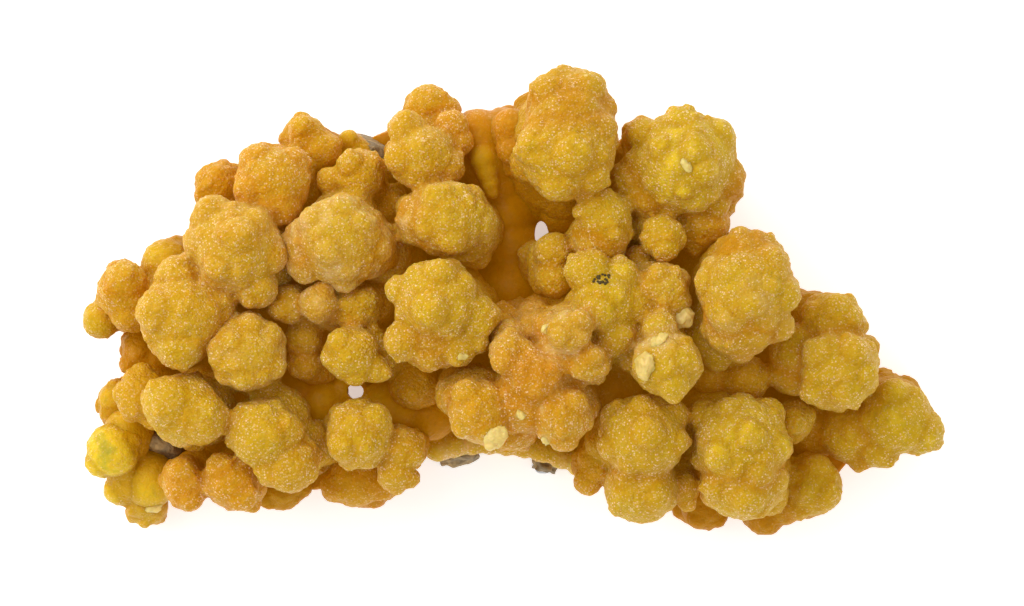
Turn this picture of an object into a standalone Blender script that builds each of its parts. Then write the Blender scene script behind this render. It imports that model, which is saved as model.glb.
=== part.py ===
"""Mimetite specimen: a crust of golden botryoids with remnants of its grey rock, lying on its flat back.

Metres, +Z up, the display side facing +Z. The origin is on the flat back, under the middle of the crust.
The tables below give places and radii in millimetres.
"""

import math
import random

import bmesh
import bpy
from mathutils import Matrix, Vector, noise

MM = 0.001

# Driving dimensions of the crust.
CRUST_LENGTH = 72.7 * MM
HALF_LENGTH, HALF_WIDTH = 36.3, 19.6
SLAB_TOP = 3.4 * MM
FUSE_VOXEL = 0.34 * MM
CRUST_TRIANGLES = 9000
KNOB_RISE = 0.42
STACK_STEP = 1.05
STACK_SHRINK = 0.96
STACK_LEAST = 1.8
STACK_LEAN = 0.24
STACK_SHIFT = 0.3
STACK_KNOBS = 3
STACK_INSET = 1.25
# These stacks lean aside by so much more, (across, up), at each step, clear of the outline.
STACK_ASIDE = {"far_east_globe": (0.0, -0.8), "olive_pip": (0.0, -0.8)}
BASE_CENTRE = 1.6
ROCK_GAP = 0.3 * MM
CUTTER_DEPTH = 6 * MM
SEED = 7

# Each globe is (x, y, z, radius, knobs). A knob is (across, up, radius) from its globe's centre, as seen
# from the display side, and sits on the globe's surface there.
GLOBES = {
    "far_left_bead": (-34.6, -1.4, 8.0, 1.6, ()),
    "left_shoulder": (-32.6, 0.9, 10.5, 2.4, ((0.5, -1.6, 1.9), (0.2, 0.9, 1.9))),
    "pale_bead": (-29.1, 3.3, 8.0, 2.1, ()),
    "west_globe": (
        -27.4, -1.2, 14.5, 3.9,
        ((-0.4, 3.3, 2.1), (2.3, 1.2, 2.4), (-0.2, -2.2, 2.3), (-2.0, 0.5, 2.0)),
    ),
    "northwest_globe": (
        -22.9, 4.6, 15.5, 3.9,
        ((-2.0, 2.7, 1.9), (-3.0, 0.4, 1.7), (1.6, -3.3, 2.0), (2.7, -0.7, 1.7),
         (0.2, 0.9, 1.9), (1.5, 1.9, 1.5), (-1.4, -1.5, 1.5)),
    ),
    "amber_bead": (-24.8, 9.9, 9.5, 2.1, ((-0.9, -0.9, 1.3),)),
    "golden_globe": (
        -20.1, 9.8, 12.5, 3.3,
        ((-1.2, 1.9, 1.8), (1.6, 1.7, 1.7), (-1.8, -0.4, 1.6), (0.7, -1.7, 1.9)),
    ),
    "north_bud": (-17.4, 14.2, 8.5, 1.7, ((1.3, -1.4, 1.8), (-0.3, 0.5, 1.2))),
    "saddle_bead": (-12.9, 10.7, 11.5, 2.3, ((-2.5, -0.5, 1.3), (-0.6, 0.8, 1.4))),
    "shadow_bead": (-10.2, 8.3, 8.5, 1.9, ()),
    "north_globe": (
        -7.7, 12.1, 14.0, 2.9,
        ((-1.2, 2.3, 1.8), (2.1, -0.8, 1.7), (-1.6, -0.1, 1.6)),
    ),
    "north_peak": (-7.2, 16.6, 10.0, 1.9, ((1.4, -0.6, 1.6),)),
    "peak_side": (-5.2, 14.6, 12.5, 1.5, ((0.4, -1.2, 1.4),)),
    "pink_shoulder_top": (-0.2, 14.7, 11.5, 1.6, ((0.9, -0.2, 1.2),)),
    "pink_shoulder_foot": (0.0, 12.9, 11.5, 1.5, ()),
    "hub_west": (-7.3, 6.9, 15.4, 2.6, ()),
    "hub_globe": (
        -5.4, 7.0, 16.0, 3.3,
        ((2.5, -0.3, 1.8), (-3.3, 0.3, 1.1), (1.9, 1.7, 1.3), (-1.0, 1.5, 1.5),
         (0.3, -1.7, 1.5), (-1.8, -0.8, 1.3)),
    ),
    "frosted_west": (-16.6, 4.7, 15.0, 2.8, ()),
    "frosted_east": (-12.5, 4.6, 15.1, 2.9, ()),
    "frosted_globe": (
        -14.4, 5.2, 15.5, 3.9,
        ((2.8, -1.0, 1.9), (0.4, 2.4, 1.4), (-2.1, 1.5, 1.5), (-3.9, 0.5, 1.0),
         (-2.9, -2.1, 1.7), (0.4, -3.0, 1.5), (1.7, 1.2, 1.4), (-0.8, -0.8, 1.5)),
    ),
    "crumb_west": (-18.6, -0.1, 13.5, 1.7, ((-0.8, -0.3, 1.1),)),
    "crumb_frosted": (-16.2, 0.0, 15.0, 1.6, ((0.4, 0.9, 1.0),)),
    "crumb_east": (-12.9, -0.3, 13.5, 2.1, ((-0.6, -1.1, 1.2), (0.7, 0.6, 1.3))),
    "south_bead": (
        -13.5, -4.2, 15.5, 2.5,
        ((2.0, -1.2, 1.4), (0.4, -1.7, 1.2), (-0.9, 1.0, 1.3)),
    ),
    "pink_bead_top": (-17.5, -2.9, 11.5, 1.6, ()),
    "pink_bead_foot": (-17.5, -5.0, 11.0, 1.5, ()),
    "knobbly_globe": (
        -22.1, -4.1, 15.0, 3.4,
        ((0.3, 2.1, 1.4), (1.9, 1.4, 1.3), (2.1, -1.1, 1.4), (-0.3, -1.9, 1.4),
         (-2.1, 0.2, 1.4), (-1.7, -1.9, 1.1), (-1.1, 0.9, 1.2), (1.1, -1.8, 1.1)),
    ),
    "heart_foot": (-6.9, -2.6, 16.6, 3.1, ()),
    "heart_globe": (
        -6.3, 0.2, 18.0, 3.6,
        ((-2.7, -3.3, 1.9), (1.7, -4.0, 1.7), (3.2, -1.3, 2.0), (-3.2, 0.9, 1.4),
         (-0.6, -4.6, 1.4), (0.2, 2.0, 1.7), (3.3, -3.4, 1.2), (-0.5, -0.6, 1.9)),
    ),
    "dusky_bead": (-8.4, -6.8, 9.5, 2.3, ()),
    "dusky_floor_west": (-10.6, -9.0, 7.5, 2.6, ()),
    "dusky_floor_east": (-7.0, -9.4, 7.0, 2.2, ()),
    "twin_west": (-12.8, -10.9, 14.0, 3.0, ((1.2, 1.1, 1.7), (-1.2, -0.9, 1.6))),
    "twin_east": (-9.3, -12.2, 13.0, 2.1, ((-0.6, -1.9, 1.7), (0.7, -2.4, 1.0))),
    "south_floor": (-13.3, -14.8, 7.5, 2.5, ((2.4, -0.3, 1.6), (-1.7, -0.6, 1.5))),
    "smooth_globe": (
        -27.3, -8.8, 14.5, 3.2,
        ((-1.2, 0.5, 2.5), (1.4, -0.6, 2.4), (1.6, -1.7, 1.4)),
    ),
    "pear_foot": (-18.4, -12.9, 13.6, 2.5, ()),
    "pear_globe": (
        -20.8, -10.8, 14.5, 3.1,
        ((2.3, -2.7, 2.4), (1.8, 0.3, 1.8), (0.8, -3.0, 1.7)),
    ),
    "southwest_bead": (-23.5, -14.8, 12.0, 2.5, ((-0.8, 1.1, 1.5), (0.8, -1.1, 1.6))),
    "amber_drop": (-27.4, -15.2, 11.0, 2.1, ((-0.2, 1.0, 1.5), (0.4, -1.0, 1.4))),
    "west_slope": (-31.2, -7.7, 10.5, 2.3, ((0.2, 1.5, 1.4), (1.1, -1.9, 1.2))),
    "green_rim": (-33.5, -8.1, 5.5, 1.5, ((-0.2, -1.2, 1.2), (-0.1, 1.0, 0.8))),
    "lemon_bead": (-33.6, -12.3, 7.5, 2.3, ((-1.1, -1.1, 1.3), (1.3, 0.8, 1.3))),
    "green_corner": (
        -32.0, -14.7, 5.0, 2.2, ((1.8, -0.8, 1.3), (1.7, 1.4, 1.1), (-1.2, -1.0, 1.4)),
    ),
    "pale_tip": (-31.3, -16.9, 4.6, 1.2, ((-0.7, -0.4, 0.7), (1.3, 0.7, 0.7))),
    "amber_block": (-31.3, -4.0, 6.5, 1.8, ((1.2, -0.4, 1.7), (-1.0, -1.1, 1.1))),
    "southwest_base": (-19.5, -15.9, 3.6, 1.8, ((-1.2, -0.6, 1.1), (1.7, 0.3, 1.0))),
    "amber_wall_west": (-3.0, 13.8, 9.0, 2.5, ()),
    "amber_wall_east": (-0.8, 13.9, 8.6, 2.5, ()),
    "amber_wall_middle": (-2.0, 12.0, 8.5, 2.6, ()),
    "amber_wall_foot": (-1.5, 10.0, 8.0, 2.3, ()),
    "hanging_point": (-2.6, 12.1, 11.0, 1.2, ((0.3, -1.1, 1.0), (0.6, -2.1, 0.8), (0.8, -2.9, 0.6))),
    "hollow_north": (-0.7, 7.6, 7.4, 2.7, ()),
    "hollow_middle": (-0.3, 4.6, 7.0, 3.0, ()),
    "hollow_south": (-0.4, 1.2, 7.4, 3.2, ((2.7, 0.9, 2.0),)),
    "hollow_foot": (0.0, -2.0, 8.6, 2.6, ()),
    "hollow_druse": (3.8, 7.6, 8.5, 1.7, ()),
    "olive_floor": (-16.2, -8.5, 7.2, 2.7, ()),
    "olive_floor_east": (-14.2, -7.4, 7.6, 1.8, ()),
    "olive_floor_west": (-18.2, -7.4, 7.4, 2.2, ()),
    "olive_pip": (-13.9, 13.7, 6.5, 0.9, ()),
    "green_floor_high": (-32.4, -11.0, 6.6, 2.2, ()),
    "green_floor_low": (-30.7, -14.9, 5.2, 2.4, ()),
    "crown_globe_middle": (4.5, 14.6, 16.4, 3.8, ()),
    "crown_globe_low": (
        4.4, 12.6, 17.0, 4.2,
        ((0.4, -0.4, 2.0), (-2.6, 0.3, 1.9), (2.6, 1.6, 1.7), (-0.8, -2.7, 1.7),
         (2.0, -2.0, 1.7)),
    ),
    "crown_globe_high": (
        4.65, 16.1, 15.5, 3.6,
        ((-1.7, 1.3, 1.8), (1.5, 1.6, 1.7), (2.8, 0.0, 1.3), (0.1, 0.0, 1.6)),
    ),
    "laurel_west": (10.6, 9.7, 13.2, 2.9, ((-1.1, 0.6, 1.6), (0.3, -1.2, 1.6))),
    "laurel_northwest": (10.8, 13.5, 12.6, 2.1, ((-0.6, 0.6, 1.2),)),
    "laurel_east": (16.8, 10.4, 13.4, 2.5, ((1.0, -0.4, 1.5),)),
    "laurel_globe": (
        14.2, 11.5, 14.5, 4.4,
        ((-0.3, 3.1, 1.9), (2.5, 2.1, 1.9), (3.3, -1.1, 1.9), (-3.3, -0.6, 2.1),
         (-3.1, -2.7, 1.8), (-3.5, 2.5, 1.6), (0.7, 1.0, 1.6), (-0.2, -2.1, 1.1),
         (-2.0, 1.2, 1.3), (2.4, -3.1, 1.5), (1.4, -0.6, 1.5)),
    ),
    "pea_bead": (12.3, 5.5, 16.0, 2.0, ((0.2, -0.9, 1.4),)),
    "rosy_bead": (15.8, 6.7, 13.0, 2.3, ((-0.8, -1.5, 1.5),)),
    "choir_foot": (7.2, 5.0, 15.5, 2.4, ()),
    "choir_bead": (
        7.4, 7.0, 16.0, 2.5,
        ((0.4, -1.3, 1.7), (-1.1, 0.8, 1.4), (1.8, -1.3, 0.9)),
    ),
    "almond_bead_top": (3.3, 4.2, 14.0, 1.7, ()),
    "almond_bead_foot": (3.4, 2.1, 14.0, 1.7, ()),
    "clover_globe": (
        7.6, 0.1, 17.5, 2.9,
        ((-1.4, 2.4, 2.1), (1.3, 2.1, 1.7), (2.3, -0.2, 1.8), (-0.6, -0.8, 1.9),
         (0.6, -2.6, 2.1)),
    ),
    "rosy_pip": (10.3, 3.6, 14.0, 1.3, ()),
    "druse_bead": (12.4, 1.2, 17.0, 2.3, ((-0.5, 1.1, 1.2), (0.9, -1.0, 1.5))),
    "chipped_globe": (
        12.6, -5.0, 18.8, 3.0,
        ((-0.6, 2.9, 1.7), (-1.6, -0.2, 1.5), (0.4, -1.5, 1.7), (1.3, 0.4, 1.5)),
    ),
    "east_globe_high": (19.4, 2.6, 17.2, 3.6, ()),
    "east_globe_low": (18.6, -1.5, 17.6, 3.3, ()),
    "east_globe": (
        19.2, 1.1, 18.0, 4.2,
        ((-0.3, 3.0, 2.2), (1.9, 2.2, 1.7), (-3.1, 0.6, 1.5), (-1.4, -2.0, 2.1),
         (2.8, -0.4, 1.8), (2.6, -3.0, 1.5), (-0.3, -3.9, 1.7), (0.3, -1.0, 1.5)),
    ),
    "olive_globe_high": (
        26.5, -1.8, 12.5, 2.9,
        ((0.2, 1.3, 1.5), (-1.7, 0.8, 1.3), (1.4, 0.6, 1.3)),
    ),
    "olive_west": (23.6, -4.1, 12.6, 2.6, ()),
    "olive_globe_low": (
        26.9, -5.5, 14.0, 3.5,
        ((-1.6, 1.2, 1.7), (1.1, 1.3, 1.7), (0.6, -1.6, 1.8), (-1.8, -1.6, 1.6),
         (1.9, -0.5, 1.5)),
    ),
    "olive_shadow": (23.2, -5.6, 12.0, 2.3, ()),
    "far_east_globe": (
        31.9, -9.6, 8.5, 3.3,
        ((-0.2, 1.8, 1.7), (2.2, -1.1, 2.1), (-1.3, -2.6, 1.8)),
    ),
    "far_east_neck": (28.2, -10.8, 7.5, 2.8, ((-0.2, 0.0, 0.9), (0.9, -1.7, 1.7))),
    "far_east_root": (25.3, -10.6, 6.0, 2.5, ()),
    "southeast_globe": (
        25.0, -15.3, 8.0, 2.7,
        ((0.3, 1.4, 1.5), (1.1, -0.7, 1.5), (-1.2, -1.6, 1.5)),
    ),
    "southeast_neck": (22.6, -17.0, 7.0, 1.7, ()),
    "southeast_tip": (21.1, -18.0, 6.5, 1.6, ()),
    "cauliflower_high": (
        18.8, -11.7, 14.5, 4.2,
        ((-3.1, 2.3, 1.6), (-1.0, 2.7, 1.4), (2.2, 2.4, 1.7), (2.8, -0.2, 1.5),
         (0.7, 0.6, 1.6), (-1.7, -0.8, 1.7), (1.3, -2.1, 1.7)),
    ),
    "cauliflower_low": (
        19.0, -14.5, 14.0, 3.7,
        ((-2.2, -0.6, 1.5), (0.3, -1.6, 1.7), (2.6, -0.2, 1.4)),
    ),
    "raspberry_high": (
        10.7, -11.1, 15.5, 3.7,
        ((0.0, 2.3, 1.5), (-2.3, 1.6, 1.5), (2.2, 1.8, 1.7), (0.3, 0.4, 1.7),
         (2.6, -0.3, 1.4), (-2.6, -0.8, 1.3)),
    ),
    "raspberry_low": (10.5, -15.3, 14.0, 3.2, ((-1.2, 0.9, 1.3), (1.2, -0.7, 1.5))),
    "raspberry_side": (14.0, -15.3, 12.5, 1.5, ((0.4, -1.2, 0.9),)),
    "drift_bead": (7.0, -13.4, 11.0, 1.8, ((-0.3, 1.2, 1.2), (-0.8, -1.4, 1.4))),
    "brown_bead_east": (19.2, -6.3, 12.0, 2.2, ()),
    "brown_bead_west": (16.3, -6.0, 12.0, 1.7, ()),
    "sliver_bead": (23.2, -9.8, 11.5, 1.3, ()),
    "grey_bead": (16.1, -17.1, 4.6, 2.2, ()),
    "cellar_bead": (8.6, -6.8, 10.5, 2.2, ((-1.3, -1.3, 1.5),)),
    "cellar_pip": (14.8, -8.1, 10.0, 1.5, ()),
    "crown_drop_heart": (0.8, -8.0, 17.2, 2.9, ()),
    "crown_drop_foot": (-0.2, -10.3, 15.8, 2.1, ()),
    "crown_drop_saddle": (3.7, -4.5, 18.2, 2.3, ()),
    "crown_drop_west": (
        -2.8, -8.9, 17.5, 2.8,
        ((-1.0, 1.3, 1.6), (0.7, -1.4, 1.7)),
    ),
    "crown_drop_east": (
        3.9, -9.2, 18.0, 2.7,
        ((1.1, 0.9, 1.4), (0.2, -1.8, 1.5), (-1.0, 0.6, 0.7)),
    ),
    "crown_drop_north": (4.6, -2.3, 20.5, 2.0, ((-0.7, -0.3, 1.1), (0.7, 0.8, 1.2))),
    "crown_drop_side": (6.1, -4.9, 19.5, 1.8, ((0.4, 0.5, 1.1),)),
    "crown_drop_middle": (1.7, -6.0, 18.5, 2.7, ((-1.0, 0.5, 1.2), (1.3, 0.6, 1.3))),
    "crown_drop_pip": (-0.8, -4.8, 20.0, 1.2, ()),
    "crown_drop_rim": (-4.5, -7.8, 15.5, 1.5, ()),
    "crown_drop_fin": (2.8, -2.1, 17.5, 1.5, ()),
}

# The thin lip of crust along the arch: a row of small beads on an arc through these (x, y) places.
LIP_WEST, LIP_CREST, LIP_EAST = (-6.4, -12.1), (-0.6, -11.6), (5.6, -13.4)
LIP_BEADS = 9
LIP_HEIGHT = 4.4
LIP_RADIUS = 1.35

# The slab that the globes grew from, as seen from the display side, clear of the outline that they make.
SLAB_OUTLINE = (
    (-33.0, -3.0), (-31.0, 1.5), (-27.0, 5.0), (-25.0, 9.5), (-20.0, 12.0),
    (-15.0, 12.4), (-9.5, 15.2), (-5.0, 15.6), (1.0, 14.8), (4.5, 17.5),
    (7.5, 12.0), (13.0, 14.0), (17.0, 12.0), (16.5, 7.0), (21.0, 4.0),
    (24.5, 0.5), (28.5, -4.5), (33.0, -9.5), (29.0, -12.5), (26.0, -16.0),
    (20.0, -17.0), (15.0, -17.0), (10.0, -16.8), (6.0, -14.0), (0.0, -11.7),
    (-6.5, -12.0), (-9.5, -14.5), (-14.0, -15.6), (-19.0, -15.8), (-24.0, -16.2),
    (-30.5, -15.6), (-33.4, -11.5), (-32.6, -7.0),
)
# Two natural holes go right through the crust: (x, y, half width, half height).
THROUGH_HOLES = ((2.3, 5.7, 0.45, 0.9), (-13.3, -7.4, 0.55, 0.5))
HOLE_SIDES = 10
HOLE_DEPTH = 28 * MM

# Remnants of the rock, each (x, y, half length, half width, height, turn in degrees), seen in gaps.
ROCKS = {
    "matrix_north": (-12.3, 12.7, 1.9, 1.3, 6.4, -20.0),
    "matrix_west": (-29.4, -11.9, 2.0, 1.2, 7.6, -20.0),
    "matrix_arch": (-4.7, -12.7, 1.8, 1.0, 3.6, 12.0),
    "matrix_foot": (2.7, -13.5, 1.1, 0.9, 3.0, -12.0),
}
ROCK_ROUGHNESS = 0.45 * MM


def clear_scene():
    for obj in list(bpy.data.objects):
        bpy.data.objects.remove(obj)


def collection_named(name):
    made = bpy.data.collections.new(name)
    bpy.context.scene.collection.children.link(made)
    return made


def material_named(name, colour, roughness):
    made = bpy.data.materials.new(name)
    made.use_nodes = True
    shader = made.node_tree.nodes["Principled BSDF"]
    shader.inputs["Base Color"].default_value = (*colour, 1.0)
    shader.inputs["Roughness"].default_value = roughness
    shader.inputs["Metallic"].default_value = 0.0
    return made


def object_from(bm, name, collection):
    mesh = bpy.data.meshes.new(name)
    bm.to_mesh(mesh)
    bm.free()
    obj = bpy.data.objects.new(name, mesh)
    collection.objects.link(obj)
    return obj


def evaluated_copy(obj):
    """Puts the object's modified mesh in place of its own, and drops the modifiers."""
    graph = bpy.context.evaluated_depsgraph_get()
    mesh = bpy.data.meshes.new_from_object(obj.evaluated_get(graph))
    obj.modifiers.clear()
    obj.data = mesh
    return obj


def ball_template(name, subdivisions):
    """A ball of radius 1, for copies."""
    bm = bmesh.new()
    bmesh.ops.create_icosphere(bm, subdivisions=subdivisions, radius=1.0)
    mesh = bpy.data.meshes.new(name)
    bm.to_mesh(mesh)
    bm.free()


def add_ball(bm, centre, radius, template="ball"):
    ball = bpy.data.meshes[template].copy()
    ball.transform(Matrix.Translation(Vector(centre) * MM) @ Matrix.Scale(radius * MM, 4))
    bm.from_mesh(ball)
    bpy.data.meshes.remove(ball)


def knob_centre(globe, knob):
    """The centre of a knob that stands out of its globe by KNOB_RISE of its own radius."""
    x, y, z, radius, _ = globe
    across, up, size = knob
    reach = radius - size * (1.0 - KNOB_RISE)
    rise = math.sqrt(max(0.0, reach * reach - across * across - up * up))
    return x + across, y + up, z + rise


def add_globe(bm, globe):
    x, y, z, radius, knobs = globe
    add_ball(bm, (x, y, z), radius)
    for knob in knobs:
        add_ball(bm, knob_centre(globe, knob), knob[2])


def kept_within(value, limit):
    return max(-limit, min(limit, value))


def add_stack(bm, globe, drawn, aside=(0.0, 0.0)):
    """The older, knobbly globes that carry a globe, one under the other, leaning in to the middle."""
    x, y, z, radius, _ = globe
    while z > BASE_CENTRE:
        z = max(z - radius * STACK_STEP, BASE_CENTRE)
        radius = max(radius * STACK_SHRINK, STACK_LEAST)
        turn = drawn.uniform(0.0, 2.0 * math.pi)
        lean = -STACK_LEAN * radius * Vector((x, 2.0 * y)).normalized()
        x += lean.x + STACK_SHIFT * radius * math.cos(turn) + aside[0]
        y += lean.y + STACK_SHIFT * radius * math.sin(turn) + aside[1]
        x = kept_within(x, HALF_LENGTH - STACK_INSET * radius)
        y = kept_within(y, HALF_WIDTH - STACK_INSET * radius)
        add_ball(bm, (x, y, z), radius, "plain_ball")
        for _ in range(STACK_KNOBS):
            side = drawn.uniform(0.0, 2.0 * math.pi)
            place = Vector((math.cos(side), math.sin(side), drawn.uniform(-0.6, 0.6))).normalized()
            size = radius * drawn.uniform(0.38, 0.5)
            centre = Vector((x, y, z)) + place * (radius - size * (1.0 - KNOB_RISE))
            add_ball(bm, centre, size, "plain_ball")


def lip_points():
    """Places of the lip's beads, on a parabola through its west end, crest and east end."""
    west, crest, east = (Vector(p) for p in (LIP_WEST, LIP_CREST, LIP_EAST))
    for step in range(LIP_BEADS):
        t = step / (LIP_BEADS - 1)
        yield west * (1 - t) * (1 - 2 * t) + crest * 4 * t * (1 - t) + east * t * (2 * t - 1)


def add_spline(curve, points):
    spline = curve.splines.new("POLY")
    spline.points.add(len(points) - 1)
    for target, (x, y) in zip(spline.points, points):
        target.co = (x * MM, y * MM, 0.0, 1.0)
    spline.use_cyclic_u = True


def hole_outline(hole):
    x, y, half_width, half_height = hole
    turns = [2.0 * math.pi * i / HOLE_SIDES for i in range(HOLE_SIDES)]
    return [(x + half_width * math.cos(a), y + half_height * math.sin(a)) for a in turns]


def slab_mesh():
    """The slab with its two holes, as a closed mesh from z = -SLAB_TOP to SLAB_TOP."""
    curve = bpy.data.curves.new("slab", "CURVE")
    curve.dimensions = "2D"
    curve.fill_mode = "BOTH"
    curve.extrude = SLAB_TOP
    add_spline(curve, SLAB_OUTLINE)
    for hole in THROUGH_HOLES:
        add_spline(curve, hole_outline(hole))
    flat = bpy.data.objects.new("slab", curve)
    bpy.context.scene.collection.objects.link(flat)
    bpy.context.view_layer.update()
    graph = bpy.context.evaluated_depsgraph_get()
    mesh = bpy.data.meshes.new_from_object(flat.evaluated_get(graph))
    bpy.data.objects.remove(flat)
    return mesh


def keep_largest_shell(obj):
    """Drops every loose shell but the largest, such as bubbles that the fusing leaves inside."""
    bm = bmesh.new()
    bm.from_mesh(obj.data)
    unseen = set(bm.verts)
    shells = []
    while unseen:
        shell, edge = set(), [unseen.pop()]
        while edge:
            vert = edge.pop()
            shell.add(vert)
            near = {e.other_vert(vert) for e in vert.link_edges} & unseen
            unseen -= near
            edge.extend(near)
        shells.append(shell)
    largest = max(shells, key=len)
    loose = [v for shell in shells if shell is not largest for v in shell]
    bmesh.ops.delete(bm, geom=loose, context="VERTS")
    bm.to_mesh(obj.data)
    bm.free()


def cut_away(obj, cutter):
    cut = obj.modifiers.new("cut", "BOOLEAN")
    cut.operation = "DIFFERENCE"
    cut.solver = "EXACT"
    cut.object = cutter


def as_cutter(obj):
    obj.hide_render = True
    obj.display_type = "WIRE"
    return obj


def floor_cutter(collection):
    """A block whose top is the plane of the specimen's flat back."""
    bm = bmesh.new()
    size = 2.0 * CRUST_LENGTH
    matrix = Matrix.Translation((0.0, 0.0, -CUTTER_DEPTH)) @ Matrix.Diagonal(
        (size, size, 2.0 * CUTTER_DEPTH, 1.0)
    )
    bmesh.ops.create_cube(bm, size=1.0, matrix=matrix)
    return as_cutter(object_from(bm, "floor_cutter", collection))


def hole_cutter(name, hole, collection):
    """A shaft that keeps a natural hole open, wider towards the back."""
    bm = bmesh.new()
    x, y, half_width, half_height = hole
    depth = HOLE_DEPTH
    matrix = Matrix.Translation((x * MM, y * MM, 0.0)) @ Matrix.Diagonal(
        (half_width * MM, half_height * MM, 1.0, 1.0)
    )
    bmesh.ops.create_cone(
        bm, cap_ends=True, segments=HOLE_SIDES, radius1=2.4, radius2=1.0, depth=depth, matrix=matrix
    )
    return as_cutter(object_from(bm, name, collection))


def rock_block(name, rock, grow, foot, collection):
    """A rough block of rock, grown outwards by grow, standing from z = foot up to its height."""
    x, y, half_length, half_width, height, turn = rock
    bm = bmesh.new()
    bmesh.ops.create_icosphere(bm, subdivisions=2, radius=1.0)
    for vert in bm.verts:
        rough = noise.noise(vert.co * 1.9 + Vector((x, y, 0.0))) * ROCK_ROUGHNESS
        squared = Vector(math.copysign(abs(c) ** 0.62, c) for c in vert.co)
        half = Vector((half_length, half_width, height)) * MM
        vert.co = Vector(a * b for a, b in zip(squared, half)) + vert.co * (rough + grow)
        vert.co.z = max(vert.co.z, foot)
    bmesh.ops.rotate(bm, verts=bm.verts, matrix=Matrix.Rotation(math.radians(turn), 3, "Z"))
    bmesh.ops.translate(bm, verts=bm.verts, vec=(x * MM, y * MM, 0.0))
    return object_from(bm, name, collection)


def build_crust(specimen, cutters):
    """The whole botryoidal crust as one solid."""
    drawn = random.Random(SEED)
    ball_template("ball", 3)
    ball_template("plain_ball", 2)
    bm = bmesh.new()
    bm.from_mesh(slab_mesh())
    for name, globe in GLOBES.items():
        add_globe(bm, globe)
        add_stack(bm, globe, drawn, STACK_ASIDE.get(name, (0.0, 0.0)))
    for place in lip_points():
        add_ball(bm, (place.x, place.y, LIP_HEIGHT), LIP_RADIUS)
        add_ball(bm, (place.x, place.y + 0.4, BASE_CENTRE), LIP_RADIUS)
    crust = object_from(bm, "mimetite", specimen)
    fuse = crust.modifiers.new("fuse", "REMESH")
    fuse.mode = "VOXEL"
    fuse.voxel_size = FUSE_VOXEL
    evaluated_copy(crust)
    keep_largest_shell(crust)
    thin = crust.modifiers.new("thin", "DECIMATE")
    thin.ratio = CRUST_TRIANGLES / sum(len(p.vertices) - 2 for p in crust.data.polygons)
    evaluated_copy(crust)
    cut_away(crust, floor_cutter(cutters))
    for number, hole in enumerate(THROUGH_HOLES):
        cut_away(crust, hole_cutter(f"hole_cutter_{number}", hole, cutters))
    for name, rock in ROCKS.items():
        pocket = rock_block(f"{name}_pocket", rock, ROCK_GAP * 1.4, -ROCK_GAP, cutters)
        cut_away(crust, as_cutter(pocket))
    evaluated_copy(crust)
    keep_largest_shell(crust)
    return crust


def centre_on_origin(specimen):
    """Moves every node so that the origin is under the middle of the whole."""
    corners = [v.co for obj in specimen.objects for v in obj.data.vertices]
    middle = [(min(c[i] for c in corners) + max(c[i] for c in corners)) / 2.0 for i in (0, 1)]
    for obj in specimen.objects:
        obj.data.transform(Matrix.Translation((-middle[0], -middle[1], 0.0)))


def main():
    clear_scene()
    specimen = collection_named("mimetite_specimen")
    cutters = collection_named("cutters")
    cutters.hide_render = True
    yellow = material_named("golden_mimetite", (0.62, 0.40, 0.05), 0.35)
    grey = material_named("grey_rock", (0.19, 0.17, 0.13), 0.85)
    crust = build_crust(specimen, cutters)
    crust.data.materials.append(yellow)
    for name, rock in ROCKS.items():
        block = rock_block(name, rock, 0.0, 0.0, specimen)
        block.data.materials.append(grey)
    centre_on_origin(specimen)


main()
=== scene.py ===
"""Dresses the mimetite specimen, a crust of golden botryoids with remnants of its grey rock.

The crust lies on its flat back with its display side up, and the camera looks straight down on it.
Lengths are metres, but the tables give places and radii in millimetres, from the middle of the crust.
"""

import math
import random

import bmesh
import bpy
import numpy as np
from bpy.props import FloatProperty, FloatVectorProperty, PointerProperty
from mathutils import Matrix, Vector, noise


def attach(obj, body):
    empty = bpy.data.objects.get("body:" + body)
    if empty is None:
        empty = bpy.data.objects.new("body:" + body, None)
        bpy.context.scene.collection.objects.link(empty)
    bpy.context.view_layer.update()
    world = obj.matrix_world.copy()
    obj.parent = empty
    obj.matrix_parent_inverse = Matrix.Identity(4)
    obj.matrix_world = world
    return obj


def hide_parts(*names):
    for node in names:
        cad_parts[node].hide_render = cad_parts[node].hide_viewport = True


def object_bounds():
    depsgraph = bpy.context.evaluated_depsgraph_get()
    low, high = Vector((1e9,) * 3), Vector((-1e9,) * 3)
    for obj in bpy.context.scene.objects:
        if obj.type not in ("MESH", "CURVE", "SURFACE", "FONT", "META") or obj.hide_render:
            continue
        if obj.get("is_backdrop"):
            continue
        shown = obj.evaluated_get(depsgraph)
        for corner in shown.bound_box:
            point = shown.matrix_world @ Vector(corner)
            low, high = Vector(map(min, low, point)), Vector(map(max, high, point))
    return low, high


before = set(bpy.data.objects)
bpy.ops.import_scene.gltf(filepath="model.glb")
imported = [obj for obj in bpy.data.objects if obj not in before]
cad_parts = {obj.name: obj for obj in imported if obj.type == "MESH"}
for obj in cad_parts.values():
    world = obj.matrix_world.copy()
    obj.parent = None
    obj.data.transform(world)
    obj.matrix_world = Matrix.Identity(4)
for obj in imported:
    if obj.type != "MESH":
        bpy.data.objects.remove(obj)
CAD_LOW, CAD_HIGH = (tuple(corner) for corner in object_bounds())

bl_info = {
    "name": "Mimetite specimen",
    "version": (1, 0, 0),
    "blender": (4, 5, 0),
    "location": "3D View > Sidebar > Mimetite",
    "description": "Models and dresses a botryoidal mimetite crust on remnants of its rock",
    "category": "Add Mesh",
}

MM = 0.001

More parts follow.
